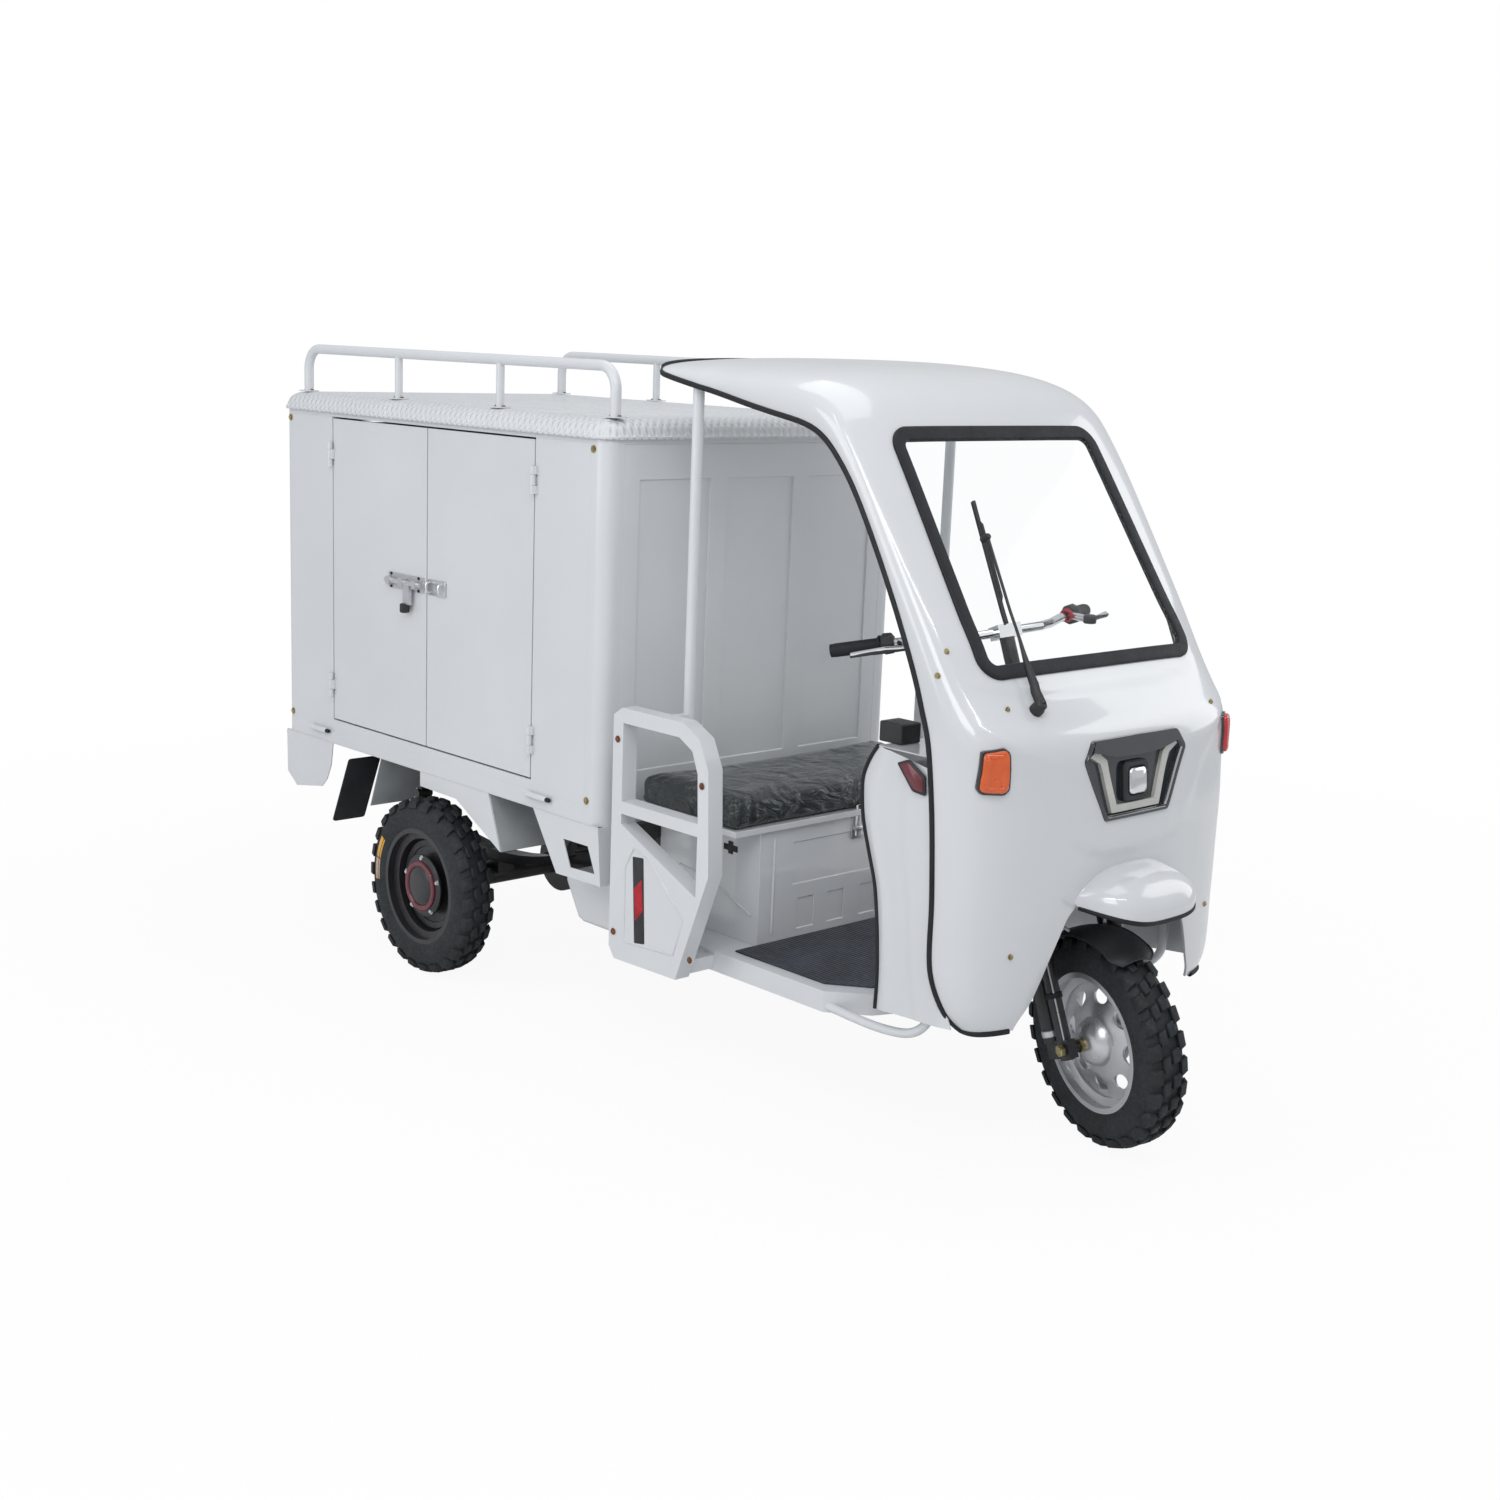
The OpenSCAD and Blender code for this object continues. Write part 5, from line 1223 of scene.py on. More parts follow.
# Leg shield: a moulding whose sides roll in from the cowl's edge to a rubber-edged back
SHIELD_BACK = [(-332, 330), (-330, 400), (-333, 470), (-340, 545), (-352, 622), (-374, 690),
               (-396, 760), (-404, 812), (-404, 866), (-385, 912), (-363, 944)]
back_line = smooth_path([Vector((x, 0, z)) for x, z in SHIELD_BACK], 5)
SHIELD_STEPS = 22


def cowl_edge_x(z):
    heights = columns[4]
    k = min(range(ROWS + 1), key=lambda i: abs(heights[i] - z) + (1000 if columns[1][i] > 1100 and z < 1000 else 0))
    return columns[2][k]


def shield_side(side):
    rows = []
    for k, b in enumerate(back_line):
        share = k / (len(back_line) - 1)
        front_z = 350 + (920 - 350) * share
        front_x = cowl_edge_x(front_z) + 6
        row = []
        for s in range(SHIELD_STEPS + 1):
            u = s / SHIELD_STEPS
            roll = 7 * soft((u - 0.02) / 0.1) - 4 * soft((u - 0.16) / 0.06) + 4 * soft((u - 0.5) / 0.1)
            belly = 8 * math.sin(math.pi * u) * math.sin(math.pi * share)
            y = 446 + (462 - 446) * u + roll * (1 - soft((u - 0.85) / 0.15)) * 0.8 + belly * 0.3
            row.append(at(b.x + (front_x - b.x) * u, side * min(470, y), b.z + (front_z - b.z) * u))
        rows.append(row)
    n = SHIELD_STEPS + 1
    faces = [(i * n + j, i * n + j + 1, (i + 1) * n + j + 1, (i + 1) * n + j)
             for i in range(len(rows) - 1) for j in range(SHIELD_STEPS)]
    return make("side", [p for r in rows for p in r], faces)


def shield_back():
    rows = []
    for b in back_line:
        rows.append([at(b.x + 5 * (1 - abs(t - 12) / 12), -446 + 892 * t / 24, b.z) for t in range(25)])
    faces = [(i * 25 + j, i * 25 + j + 1, (i + 1) * 25 + j + 1, (i + 1) * 25 + j)
             for i in range(len(rows) - 1) for j in range(24)]
    return make("back", [p for r in rows for p in r], faces)


def shield_shelf():
    """The shelf behind the windscreen's foot, open round the steering stem."""
    hole = at(-40 - (1168 - steer_foot.z * 1000) * math.tan(math.radians(RAKE))
              + (1168 - 944) * math.tan(math.radians(RAKE)), 0, 943)
    ring, rim = [], []
    for t in range(48):
        a = 2 * math.pi * t / 48
        c, s = math.cos(a), math.sin(a)
        ring.append(hole + Vector((0.032 * c, 0.032 * s, 0)))
        reach_x = (at(-170, 0, 0).x - hole.x) if c > 0 else (hole.x - at(-363, 0, 0).x)
        share = min(reach_x / max(1e-6, abs(c)), 0.446 / max(1e-6, abs(s)))
        rim.append(hole + Vector((share * c, share * s, 0)))
    faces = [(k, (k + 1) % 48, 48 + (k + 1) % 48, 48 + k) for k in range(48)]
    return make("shelf", ring + rim, faces)


parts = [shield_side(1), shield_side(-1), shield_back(), shield_shelf()]
for obj in parts:
    obj.data.materials.append(COWL_WHITE)
moulding = joined("leg_shield_moulding", parts)
modifier = moulding.modifiers.new("thick", "SOLIDIFY")
modifier.thickness = 0.003
modifier.offset = 0
applied(moulding)
dress(tidy_normals(moulding), COWL_WHITE, "chassis", 50)
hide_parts("leg_shield")
for side, name in ((-1, "right"), (1, "left")):
    line = [at(p.x - 2, side * 447, p.z) for p in back_line]
    tube("leg_shield_edge_" + name, line, 5.5, RUBBER, "chassis", 10)
DATA_PLATE = [(-282, 922), (-246, 936), (-196, 905), (-192, 862), (-232, 866)]
plate("leg_shield_plate_border", DATA_PLATE, "xz", -474.5, -470, PLASTIC, corner=6)
plate("leg_shield_plate", grown(DATA_PLATE, -6), "xz", -476, -473, MAROON, corner=5)
bolts("cowl_bolts", [on_face(y, z)[0] for y, z in ((-355, 1063), (350, 1020), (-365, 520), (365, 520))],
      (1, 0, 0.1), ZINC, r=5)
side_bolt_places = []
for x, z in ((-180, 1183), (-176, 1133)):
    hit, normal = seat_on_skin(at(x, -700, z), Vector((0, 1, 0)))
    side_bolt_places.append(hit)
bolts("cowl_side_bolts", side_bolt_places, (0.3, -1, 0), ZINC, r=5)


# Handlebar fittings, in the bar's own steered place
BAR_Z, BAR_HALF, BAR_SWEEP = 1168, 366, 191


def bar_point(x, y, z):
    foot_x = -40 - (BAR_Z - steer_foot.z * 1000) * math.tan(math.radians(RAKE))
    return STEERED @ at(foot_x + x, y, z)


for side, name in ((-1, "right"), (1, "left")):
    a = bar_point(-0.46 * BAR_SWEEP, side * 0.67 * BAR_HALF, BAR_Z - 6)
    b = bar_point(-BAR_SWEEP, side * BAR_HALF, BAR_Z - 27)
    way = (b - a).normalized()
    start = b - way * 0.118
    pod_at = axes(start - way * 0.017, way)
    lathe("switch_pod_" + name, [(0, -16), (18, -16), (25, -11), (26, 9), (22, 14), (0, 14)],
          PLASTIC, "steering", pod_at, 8, 20)
    lathe("grip_ribs_" + name, [(15.5, 0)] + [(16.2 + 1.0 * (k % 2), 6 + k * 3.4) for k in range(32)] + [(14.5, 118)],
          RUBBER, "steering", axes(start, way), 32, 70)
    pivot = bar_point(26, side * 0.62 * BAR_HALF, BAR_Z + 2)
    lathe("lever_perch_" + name, [(0, -9), (14, -9), (16, -6), (16, 8), (12, 12), (0, 12)],
          PLASTIC, "steering", axes(pivot, (0, 0, 1)), 24)
    blade = [pivot, bar_point(0, side * 0.74 * BAR_HALF, BAR_Z - 2),
             bar_point(-46, side * 0.9 * BAR_HALF, BAR_Z - 12), bar_point(-106, side * BAR_HALF, BAR_Z - 26)]
    tube("brake_lever_" + name, smooth_path(blade, 6), [8] * 7 + [7] * 6 + [6] * 6, PLASTIC, "steering",
         10, flat=0.6)
    if side > 0:
        band_at = axes(start - way * 0.062, way)
        lathe("red_cloth_band", [(12, -16), (15, -15), (16.5, -8), (14.5, -3), (17, 4), (15.5, 10), (12, 14)],
              RED_TAG, "steering", band_at, 20, 60)

# Wiper: pivot cap, tapered arm and a blade on its bridge
WIPER_PIVOT, WIPER_TIP, BLADE = (-278, -402), (-212, 20), ((-253, -190), (-192, 118))


def over_glass(u, v, lift):
    hit, normal = on_screen(u, v)
    return hit + normal * lift / 1000


pivot_hit, pivot_normal = on_screen(*WIPER_PIVOT)
lathe("wiper_pivot_cap", [(0, 0), (16, 0), (16, 12), (13, 20), (13, 27), (9, 30), (0, 30)], PLASTIC, "chassis",
      axes(pivot_hit, pivot_normal), 32)
arm, radii = [], []
for k in range(25):
    s = k / 24
    arm.append(over_glass(WIPER_PIVOT[0] + (WIPER_TIP[0] - WIPER_PIVOT[0]) * s,
                          WIPER_PIVOT[1] + (WIPER_TIP[1] - WIPER_PIVOT[1]) * s, 24))
    radii.append(12 - 8.5 * soft(s / 0.45))
arm_piece = tube("wiper_arm", arm, radii, PLASTIC, "chassis", 12, flat=0.55)
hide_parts("wiper")
blade = []
for k in range(25):
    s = k / 24
    blade.append([over_glass(BLADE[0][0] + (BLADE[1][0] - BLADE[0][0]) * s,
                             BLADE[0][1] + (BLADE[1][1] - BLADE[0][1]) * s, lift) for lift in (4, 10, 17)])
tube("wiper_blade_rubber", [row[0] for row in blade], 2.6, RUBBER, "chassis", 8)
tube("wiper_blade_holder", [row[1] for row in blade], 4.6, PLASTIC, "chassis", 8, flat=0.7)
tube("wiper_blade_bridge", [row[1] if k in (4, 20) else row[2] for k, row in enumerate(blade) if 4 <= k <= 20],
     3.2, PLASTIC, "chassis", 8)
lathe("wiper_joint", [(0, 6), (8, 6), (8, 26), (6, 29), (0, 29)], PLASTIC, "chassis",
      axes(on_screen(*WIPER_TIP)[0], on_screen(*WIPER_TIP)[1]), 20)


# Wheel rims: rolled barrel, dished disc with wide slots, hub with its cap
def rim_mesh():
    barrel = [(158, 43), (170, 43), (170, 46), (155, 46), (155, 25), (136, 20), (136, -20), (155, -25), (155, -46),
              (170, -46), (170, -43), (158, -43), (158, -20), (140, -15), (140, 15), (158, 20), (158, 43)]
    disc = [(139, 12), (139, 6), (122, 4), (98, 10), (74, 20), (36, 20), (36, 27), (76, 27), (100, 15), (122, 9),
            (139, 12)]
    hub = [(11, -44), (30, -44), (38, -35), (38, 34), (30, 44), (11, 44), (11, -44)]
    spin = Matrix.Identity(4)
    pieces = [lathe("barrel", barrel, SILVER, "chassis", spin, 96),
              lathe("disc", disc, SILVER, "chassis", spin, 96),
              lathe("hub", hub, SILVER, "chassis", spin, 64)]
    slots = []
    for k in range(8):
        a = 2 * math.pi * k / 8
        ring = []
        for t in range(24):
            b = 2 * math.pi * t / 24
            ring.append((109 + 17 * math.cos(b) * (1.0 + 0.1 * math.sin(b)), 24 * math.sin(b)))
        turned = [(x * math.cos(a) - y * math.sin(a), x * math.sin(a) + y * math.cos(a)) for x, y in ring]
        points = [Vector((x, y, z)) / 1000 for z in (-10, 40) for x, y in turned]
        faces = [tuple(range(23, -1, -1)), tuple(range(24, 48))]
        faces += [(j, (j + 1) % 24, 24 + (j + 1) % 24, 24 + j) for j in range(24)]
        slots.append(make("slot", points, faces))
    for tool in slots:
        tool.data.materials.append(SILVER)
    tool = joined("slots", slots)
    tidy_normals(tool)
    modifier = pieces[1].modifiers.new("cut", "BOOLEAN")
    modifier.operation = "DIFFERENCE"
    modifier.solver = "EXACT"
    modifier.object = tool
    applied(pieces[1])
    bpy.data.objects.remove(tool)
    obj = joined("rim_source", pieces)
    mesh = obj.data.copy()
    bpy.data.objects.remove(obj)
    return mesh


rim_source = rim_mesh()
for name, node, matrix, body, outward, finish, slot in (
        ("front_rim_slotted", "front_rim", FRONT_WHEEL, "front_wheel", -1, SILVER, "silver_steel"),
        ("rear_rim_right_slotted", "rear_rim_right", REAR_WHEEL[-1], "rear_wheel_right", 1, BLACK_STEEL, "black_steel"),
        ("rear_rim_left_slotted", "rear_rim_left", REAR_WHEEL[1], "rear_wheel_left", -1, BLACK_STEEL, "black_steel")):
    mesh = rim_source.copy()
    # The dish faces outward along Y
    mesh.transform(matrix @ Matrix.Rotation(math.radians(-90 * outward), 4, "X"))
    obj = bpy.data.objects.new(name, mesh)
    scene.collection.objects.link(obj)
    dress(obj, finish, body, 40)
    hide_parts(node)
for side, name in ((-1, "right"), (1, "left")):
    cap = axes(REAR_WHEEL[side].translation + Vector((0, side * 0.040, 0)), (0, side, 0))
    body = "rear_wheel_" + name
    lathe("hub_flange_" + name, [(0, -16), (90, -16), (90, -11), (80, -6), (74, -5), (0, -5)], BLACK_STEEL, body,
          cap, 64)
    lathe("drum_face_" + name, [(40, -44), (128, -44), (131, -41), (131, -39), (128, -37), (112, -38), (110, -41),
                                (40, -41), (40, -44)], BLACK_STEEL, body, cap, 96)
    lathe("hub_ring_" + name, [(57, -6), (73, -6), (73, -1), (70, 2), (61, 2), (57, -1), (57, -6)], MAROON, body, cap,
          64)
    lathe("hub_cap_" + name, [(0, -6), (56, -6), (56, -2), (50, 2), (30, 5), (0, 6)], BLACK_STEEL, body, cap,
          48)
    wheel_nuts = [cap @ Vector((0.081 * math.cos(a), 0.081 * math.sin(a), -0.009))
                  for a in (2 * math.pi * k / 5 for k in range(5))]
    bolts("wheel_nuts_" + name, wheel_nuts, (0, side, 0), SILVER, body, r=6, h=6)
    for tone, finish, a0, a1 in (("amber", REFLECTOR, 148, 167), ("pale", PALE_STRIP, 168, 186)):
        arcs = [(r, math.radians(a0 + (a1 - a0) * t / 8)) for r, count in ((193, range(9)), (213, range(8, -1, -1)))
                for t in count]
        outline = [(-WHEELBASE + r * math.cos(a), TYRE_R + r * math.sin(a)) for r, a in arcs]
        plate("tyre_reflector_" + tone + "_" + name, outline, "xz", side * (REAR_WHEEL_Y + 49.6),
              side * (REAR_WHEEL_Y + 50.9), finish, body, bevel=0.3)

# Front axle's nuts and spacers, and the fork's bright damper rods
axle_mid = FRONT_WHEEL.translation
axle_way = (FRONT_WHEEL.to_3x3() @ Vector((0, 1, 0))).normalized()
for side, name in ((-1, "right"), (1, "left")):
    outer = axes(axle_mid + axle_way * side * 0.122, axle_way * side)
    lathe("axle_nut_" + name, [(0, 0), (15, 0), (15, 9), (12, 11), (0, 11)], BRASS, "steering", outer,
          6, 20)
    lathe("axle_spacer_" + name, [(10, -76), (16, -76), (16, -46), (10, -46)], BRASS, "steering", outer,
          32)
    dome = axes(axle_mid + axle_way * side * 0.040, axle_way * side)
    lathe("hub_dome_" + name, [(11, 24), (24, 22), (40, 15), (52, 4), (58, -8), (60, -14), (11, -14)], SILVER, "front_wheel", dome,
          48)
    leg_x, leg_y = 40 * math.cos(math.radians(RAKE)), side * 104
    leg_z = -40 * math.sin(math.radians(RAKE))
    leg = STEM @ Matrix.Translation(Vector((leg_x - 12, leg_y, leg_z)) / 1000)
    # A thin silver tube along each black fork leg's edge is a painted highlight: it stands in for the light the leg's
    # edge catches.
    highlight_line = [leg @ (Vector((15.5, side * 9, z)) / 1000) for z in (-8, 60, 150, 250)]
    tube("fork_edge_highlight_" + name, highlight_line, 1.8, SILVER, "steering", 8)
    lathe("fork_seal_" + name, [(17.4, 120), (20, 120), (20, 132), (17.4, 134)], RUBBER, "steering", leg,
          40)
    damper = STEM @ Matrix.Translation(Vector((leg_x - 58, leg_y, leg_z)) / 1000)
    lathe("damper_rod_" + name, [(13.2, 168), (13.8, 169), (13.8, 236), (13.2, 238)], CHROME, "steering", damper,
          32)
    lathe("damper_collar_" + name, [(21.2, 30), (23, 32), (23, 44), (21.2, 46)], SILVER, "steering", damper,
          32)

# Side guard: pressed edge, bare label strip and bolts
for side, name in ((-1, "right"), (1, "left")):
    face = side * 578
    strip = [(-1064, 552), (-1022, 556), (-1010, 336), (-1050, 330)]
    if side < 0:
        plate("guard_strip", strip, "xz", face - 1.2, face + 1, PLASTIC, corner=4)
        plate("guard_strip_middle", [(-1056, 470), (-1026, 500), (-1019, 420), (-1047, 388)], "xz", face - 2.0,
              face, RED_TAG, corner=3)
    rib = [at(x, side * 577.5, z) for x, z in ((-1092, 330), (-1092, 520), (-1060, 574), (-1000, 560),
                                          (-868, 432), (-900, 336), (-1070, 326))]
    tube("guard_pressed_rib_" + name, rib + [rib[0]], 3.2, BOX_WHITE, "chassis", 8)
    bolts("guard_bolts_" + name, [at(x, side * 579, z) for x, z in ((-1133, 340), (-1133, 840), (-812, 780), (-836, 340))],
          (0, side, 0), RUST if side < 0 else ZINC, r=6)

# Seat box: toggle latch, lip, pressed lines, and a black plate of painted shade where the lifting slot opens
SEAT_FRONT = -855
plate("seat_latch_plate", [(-14, 560), (28, 560), (28, 640), (-14, 640)], "yz", SEAT_FRONT - 1, SEAT_FRONT + 3,
      SILVER, corner=4)
tube("seat_latch_loop", [at(SEAT_FRONT + 8, y, z) for y, z in ((-4, 570), (-4, 652), (18, 652), (18, 570))], 3, CHROME,
     "chassis", 8)
lathe("seat_latch_lever", [(0, -16), (6, -16), (8, -10), (8, 10), (6, 16), (0, 16)], SILVER, "chassis",
      axes(at(SEAT_FRONT + 8, 7, 590), (0, 1, 0)), 16)
for side in (-1, 1):
    tag = "right" if side < 0 else "left"
    # The lifting slot is not cut: a thin black plate on the box's side is painted shade standing in for its dark
    # opening.
    plate("seat_slot_shade_" + tag, [(-990, 553), (-990, 569), (-973, 569), (-973, 578), (-955, 578), (-955, 569),
                              (-938, 569), (-938, 553), (-955, 553), (-955, 545), (-973, 545), (-973, 553)],
          "xz", side * 337, side * 339.2, PLASTIC, bevel=0.4)
    crease = [at(x, side * 338.5, z) for x, z in ((-1160, 476), (-1035, 462), (-960, 432), (-879, 401))]
    tube("seat_crease_" + tag, smooth_path(crease, 4), 2.6, COWL_WHITE, "chassis", 8)
for y in (-288, 288):
    tube("seat_rib_" + ("right" if y < 0 else "left"), [at(SEAT_FRONT, y, 350), at(SEAT_FRONT, y, 600)], 4,
         COWL_WHITE, "chassis", 8)
plate("seat_front_lip", [(-336, 622), (336, 622), (336, 634), (-336, 634)], "yz", SEAT_FRONT, SEAT_FRONT + 8,
      COWL_WHITE, corner=3)

# Side door bolt: keeper on the front door, and a small padlock on the bolt's hasp
plate("side_bolt_keeper", [(-2046, 1093), (-1958, 1093), (-1958, 1137), (-2046, 1137)], "xz", -536.4, -532.6, SILVER,
      "side_door_front", corner=5)
for k, x in enumerate((-2034, -1974)):
    staple = [at(x, y, z) for y, z in ((-534, 1100), (-549, 1104), (-549, 1126), (-534, 1130))]
    tube("side_bolt_staple_" + str(k), staple, 3.4, CHROME, "side_door_front", 8)
bolts("side_bolt_screws", [at(x, -537, z) for x in (-2230, -2090) for z in (1097, 1133)], (0, -1, 0), PLASTIC,
      "side_door_rear", r=3.2, h=2.4)
lathe("side_bolt_padlock", [(0, -13), (12, -13), (14, -10), (14, 10), (12, 13), (0, 13)], PLASTIC, "side_door_rear",
      axes(at(-2140, -550, 1044), (0, 0, 1)), 6, 20)
tube("side_bolt_shackle", smooth_path([at(-2147, -550, 1056), at(-2147, -550, 1076), at(-2140, -550, 1084),
                                       at(-2133, -550, 1076), at(-2133, -550, 1056)], 5), 2.4, CHROME,
     "side_door_rear", 8)

# Front mudguard: the CAD's own arc with a crowned section and a rolled rim
def wheel_place(v):
    return FRONT_WHEEL.inverted() @ v


arc = [wheel_place(v.co) for v in nodes["front_mudguard"].data.vertices]
arc = [p for p in arc if abs(math.hypot(p.x, p.z) - 0.270) < 0.004 and abs(p.y) < 0.0605]
angles = [math.atan2(p.z, p.x) for p in arc]
GUARD_FROM, GUARD_TO = min(angles), max(angles)
points, faces = [], []
ARC_STEPS, WIDE_STEPS = 40, 14
for i in range(ARC_STEPS + 1):
    share = i / ARC_STEPS
    a = GUARD_FROM + (GUARD_TO - GUARD_FROM) * share
    near_end = min(share, 1 - share)
    half = 0.060 * (1 - 0.35 * (1 - min(1.0, near_end / 0.09)) ** 2)
    for j in range(WIDE_STEPS + 1):
        u = 2 * j / WIDE_STEPS - 1
        r = 0.2705 - 0.011 * abs(u) ** 2.2
        points.append(FRONT_WHEEL @ Vector((r * math.cos(a), half * u, r * math.sin(a))))
row = WIDE_STEPS + 1
faces = [(i * row + j, i * row + j + 1, (i + 1) * row + j + 1, (i + 1) * row + j)
         for i in range(ARC_STEPS) for j in range(WIDE_STEPS)]
guard = make("front_mudguard_crowned", points, faces)
rim_path = ([points[i * row] for i in range(ARC_STEPS + 1)] + points[ARC_STEPS * row:][1:]
            + [points[i * row + WIDE_STEPS] for i in range(ARC_STEPS - 1, -1, -1)]
            + points[1:WIDE_STEPS][::-1])
modifier = guard.modifiers.new("thick", "SOLIDIFY")
modifier.thickness = 0.003
applied(guard)
dress(tidy_normals(guard), PLASTIC, "steering", 50)
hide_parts("front_mudguard")
tube("front_mudguard_rim", rim_path, 2.6, PLASTIC, "steering", 8, closed=True)
for side in (-1, 1):
    tag = "right" if side < 0 else "left"
    a = GUARD_TO - 0.45 * (GUARD_TO - GUARD_FROM)
    top = FRONT_WHEEL @ Vector((0.266 * math.cos(a), side * 0.050, 0.266 * math.sin(a)))
    lug = STEM @ (Vector((40 * math.cos(math.radians(RAKE)) - 12, side * 96, 306)) / 1000)
    tube("front_mudguard_stay_" + tag, [top, top.lerp(lug, 0.5) + Vector((0, 0, 0.006)), lug], 4, SILVER, "steering",
         8)

# Bent step tubes from below the floor pan up to the leg shield
for side in (-1, 1):
    step = [at(x, side * 436, z) for x, z in ((-560, 292), (-436, 284), (-322, 282), (-232, 296), (-182, 336),
                                            (-172, 390), (-176, 430))]
    tube("step_tube_" + ("right" if side < 0 else "left"), smooth_path(step, 6), 11, BOX_WHITE, "chassis",
         14)

# Load box: corner bolts, rail pins, rack-foot bolts and mud flaps
for side, name in ((-1, "right"), (1, "left")):
    corner_places = [at(x, side * 532.2, z) for x in (-1314, -2792) for z in (1546, 640)]
    bolts("box_corner_bolts_" + name, corner_places, (0, side, 0), ZINC, r=7)
    for k, x in enumerate((-1562, -2671)):
        pin = axes(at(x, side * 540, 612), (1, 0, 0))
        barrel = [(0, 0), (6, 0), (8.5, 2), (8.5, 30), (7.5, 31), (7.5, 33), (8.5, 34), (8.5, 84), (7, 87), (0, 87)]
        lathe("rail_pin_" + name + "_" + str(k), barrel, BOX_WHITE, "chassis", pin, 24)
        lathe("rail_pin_tip_" + name + "_" + str(k), [(0, 86.8), (6, 86.8), (6, 98), (4, 102), (0, 102)], RUBBER,
              "chassis", pin, 20)
    tube("base_seam_" + name, [at(x, side * 532.4, 578) for x in (-2826, -2400, -1700, -1262)], 1.6, BOX_WHITE,
         "chassis", 6)
    foot_places = [at(-2773 + k * (-1295 + 2773) / 3 + dx, side * 480 + dy, 1627.5)
                   for k in range(4) for dx, dy in ((-17, 0), (17, 0))]
    bolts("rack_foot_bolts_" + name, foot_places, (0, 0, 1), RUST, r=4.5, h=4)
    flap = [(side * 462, 560), (side * 574, 560), (side * 574, 356), (side * 566, 350), (side * 462, 350)]
    hung = plate("mud_flap_" + name, flap, "yz", -2404, -2399, RUBBER, corner=8, bevel=1.2)
    for vertex in hung.data.vertices:
        vertex.co.x -= (0.56 - vertex.co.z) * 0.45
    lamp = [v.co for v in nodes["tail_lamps"].data.vertices if v.co.y * side > 0]
    lamp_mid = Vector((min(p.x for p in lamp), (min(p.y for p in lamp) + max(p.y for p in lamp)) / 2,
                       (min(p.z for p in lamp) + max(p.z for p in lamp)) / 2))
    lathe("tail_lamp_lens_" + name, [(0, -2), (30, -2), (30, 1.5), (26, 3.5), (18, 4), (16, 3), (0, 3.6)], RED_LENS,
          "chassis", axes(lamp_mid + Vector((0.0015, 0, 0)), (-1, 0, 0)), 40)

# Floor and light
floor_material, tree, shader = tree_of("floor")
shader.inputs["Base Color"].default_value = (0.8, 0.8, 0.8, 1)
shader.inputs["Roughness"].default_value = 0.9
mottle = noise_node(tree, 0.7).outputs["Fac"]
tree.links.new(mixed(tree, spread(tree, mottle, 0, 1), (0.79, 0.79, 0.79), (0.82, 0.82, 0.82)), shader.inputs["Base Color"])
glow = tree.nodes.new("ShaderNodeEmission")
glow.inputs["Color"].default_value = (1, 1, 1, 1)
blend = tree.nodes.new("ShaderNodeMixShader")
path_node = tree.nodes.new("ShaderNodeLightPath")
most = tree.nodes.new("ShaderNodeMath")
most.operation = "MULTIPLY"
seen = tree.nodes.new("ShaderNodeMath")
seen.operation = "MAXIMUM"
tree.links.new(path_node.outputs["Is Camera Ray"], seen.inputs[0])
tree.links.new(path_node.outputs["Is Transmission Ray"], seen.inputs[1])
tree.links.new(seen.outputs["Value"], most.inputs[0])
# Far from the object the floor runs out into the white background
spot = tree.nodes.new("ShaderNodeTexCoord")
reach = tree.nodes.new("ShaderNodeVectorMath")
reach.operation = "LENGTH"
tree.links.new(spot.outputs["Object"], reach.inputs[0])
fade = tree.nodes.new("ShaderNodeMapRange")
fade.inputs["From Min"].default_value = 1.8
fade.inputs["From Max"].default_value = 4.5
fade.inputs["To Min"].default_value = 0.93
fade.inputs["To Max"].default_value = 1.0
tree.links.new(reach.outputs["Value"], fade.inputs["Value"])
tree.links.new(fade.outputs["Result"], most.inputs[1])
tree.links.new(most.outputs["Value"], blend.inputs["Fac"])
tree.links.new(shader.outputs["BSDF"], blend.inputs[1])
tree.links.new(glow.outputs["Emission"], blend.inputs[2])
tree.links.new(blend.outputs["Shader"], tree.nodes["Material Output"].inputs["Surface"])
bm = bmesh.new()
bmesh.ops.create_grid(bm, x_segments=8, y_segments=8, size=30)
floor = from_bmesh("floor", bm)
floor.data.materials.append(floor_material)

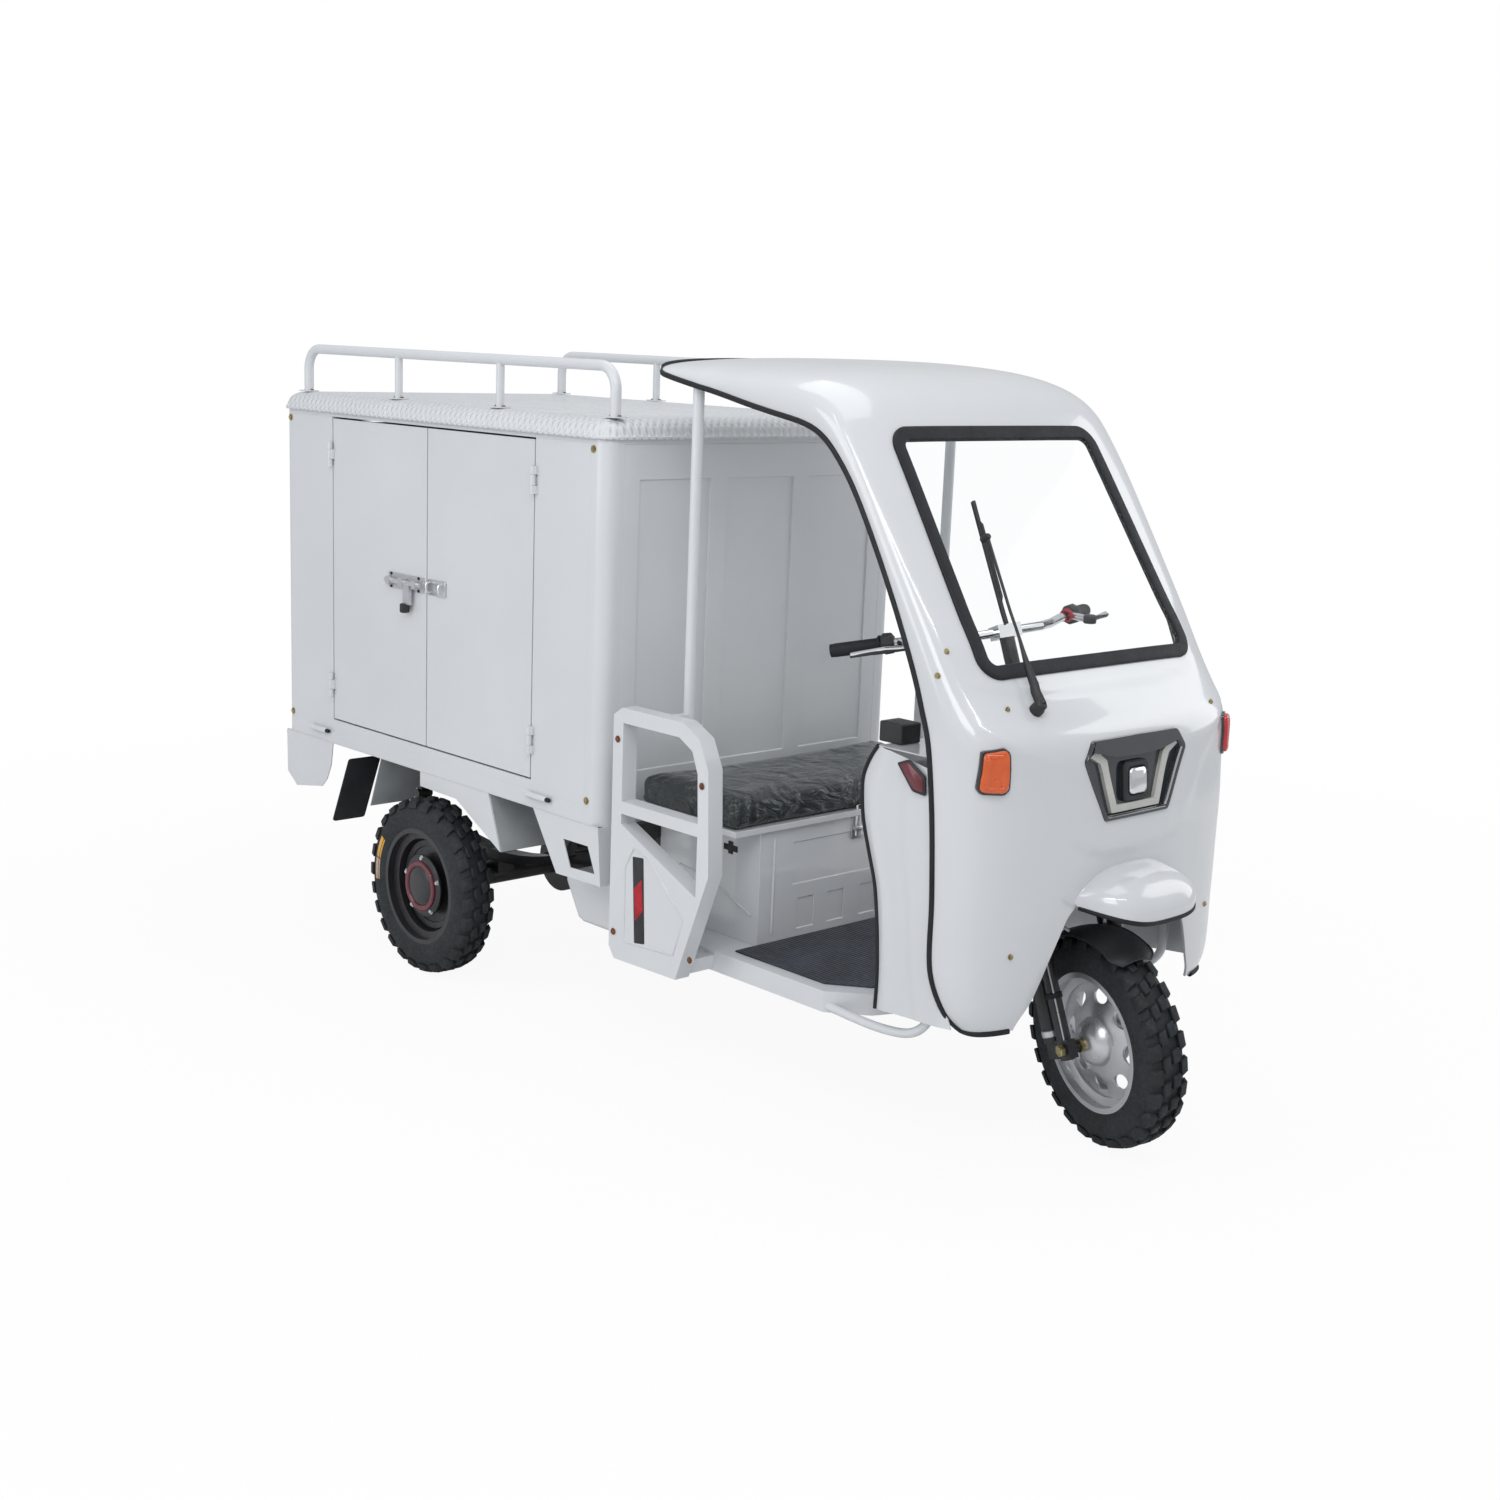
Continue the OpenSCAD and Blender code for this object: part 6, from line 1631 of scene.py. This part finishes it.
world = bpy.data.worlds.new("studio")
scene.world = world
world.use_nodes = True
tree = world.node_tree
tree.nodes.clear()
out = tree.nodes.new("ShaderNodeOutputWorld")
soft_light = tree.nodes.new("ShaderNodeBackground")
soft_light.inputs["Color"].default_value = (0.95, 0.97, 1.0, 1)
soft_light.inputs["Strength"].default_value = 0.62
white = tree.nodes.new("ShaderNodeBackground")
white.inputs["Color"].default_value = (1, 1, 1, 1)
white.inputs["Strength"].default_value = 1.0
rays = tree.nodes.new("ShaderNodeLightPath")
seen = tree.nodes.new("ShaderNodeMath")
seen.operation = "MAXIMUM"
pick = tree.nodes.new("ShaderNodeMixShader")
tree.links.new(rays.outputs["Is Camera Ray"], seen.inputs[0])
tree.links.new(rays.outputs["Is Transmission Ray"], seen.inputs[1])
tree.links.new(seen.outputs["Value"], pick.inputs["Fac"])
tree.links.new(soft_light.outputs["Background"], pick.inputs[1])
tree.links.new(white.outputs["Background"], pick.inputs[2])
tree.links.new(pick.outputs["Shader"], out.inputs["Surface"])


def softbox(name, place, aim, size, power):
    data = bpy.data.lights.new(name, "AREA")
    data.shape = "RECTANGLE"
    data.size, data.size_y = size
    data.energy = power
    light = bpy.data.objects.new(name, data)
    light.matrix_world = axes(Vector(place), Vector(place) - Vector(aim), (0, 0, 1) if abs(place[2]) < 5 else (1, 0, 0))
    scene.collection.objects.link(light)


softbox("key", (3.2, -3.4, 4.2), (0.2, 0, 0.9), (3.0, 2.0), 64)
softbox("top", (0.0, 0.6, 5.2), (0, 0, 1), (4.5, 3.0), 50)
softbox("strip_front", (2.6, -1.2, 3.4), (0.8, 0, 1.2), (0.10, 2.4), 12)
softbox("strip_side", (0.4, -3.6, 3.6), (0.2, 0, 1.0), (2.8, 0.10), 12)
softbox("side", (-1.4, -4.8, 2.4), (-0.5, 0, 0.9), (3.0, 2.0), 40)
softbox("fill", (2.4, 4.2, 2.6), (0.4, 0, 0.9), (3.0, 2.0), 30)
scene.view_settings.view_transform = "Standard"
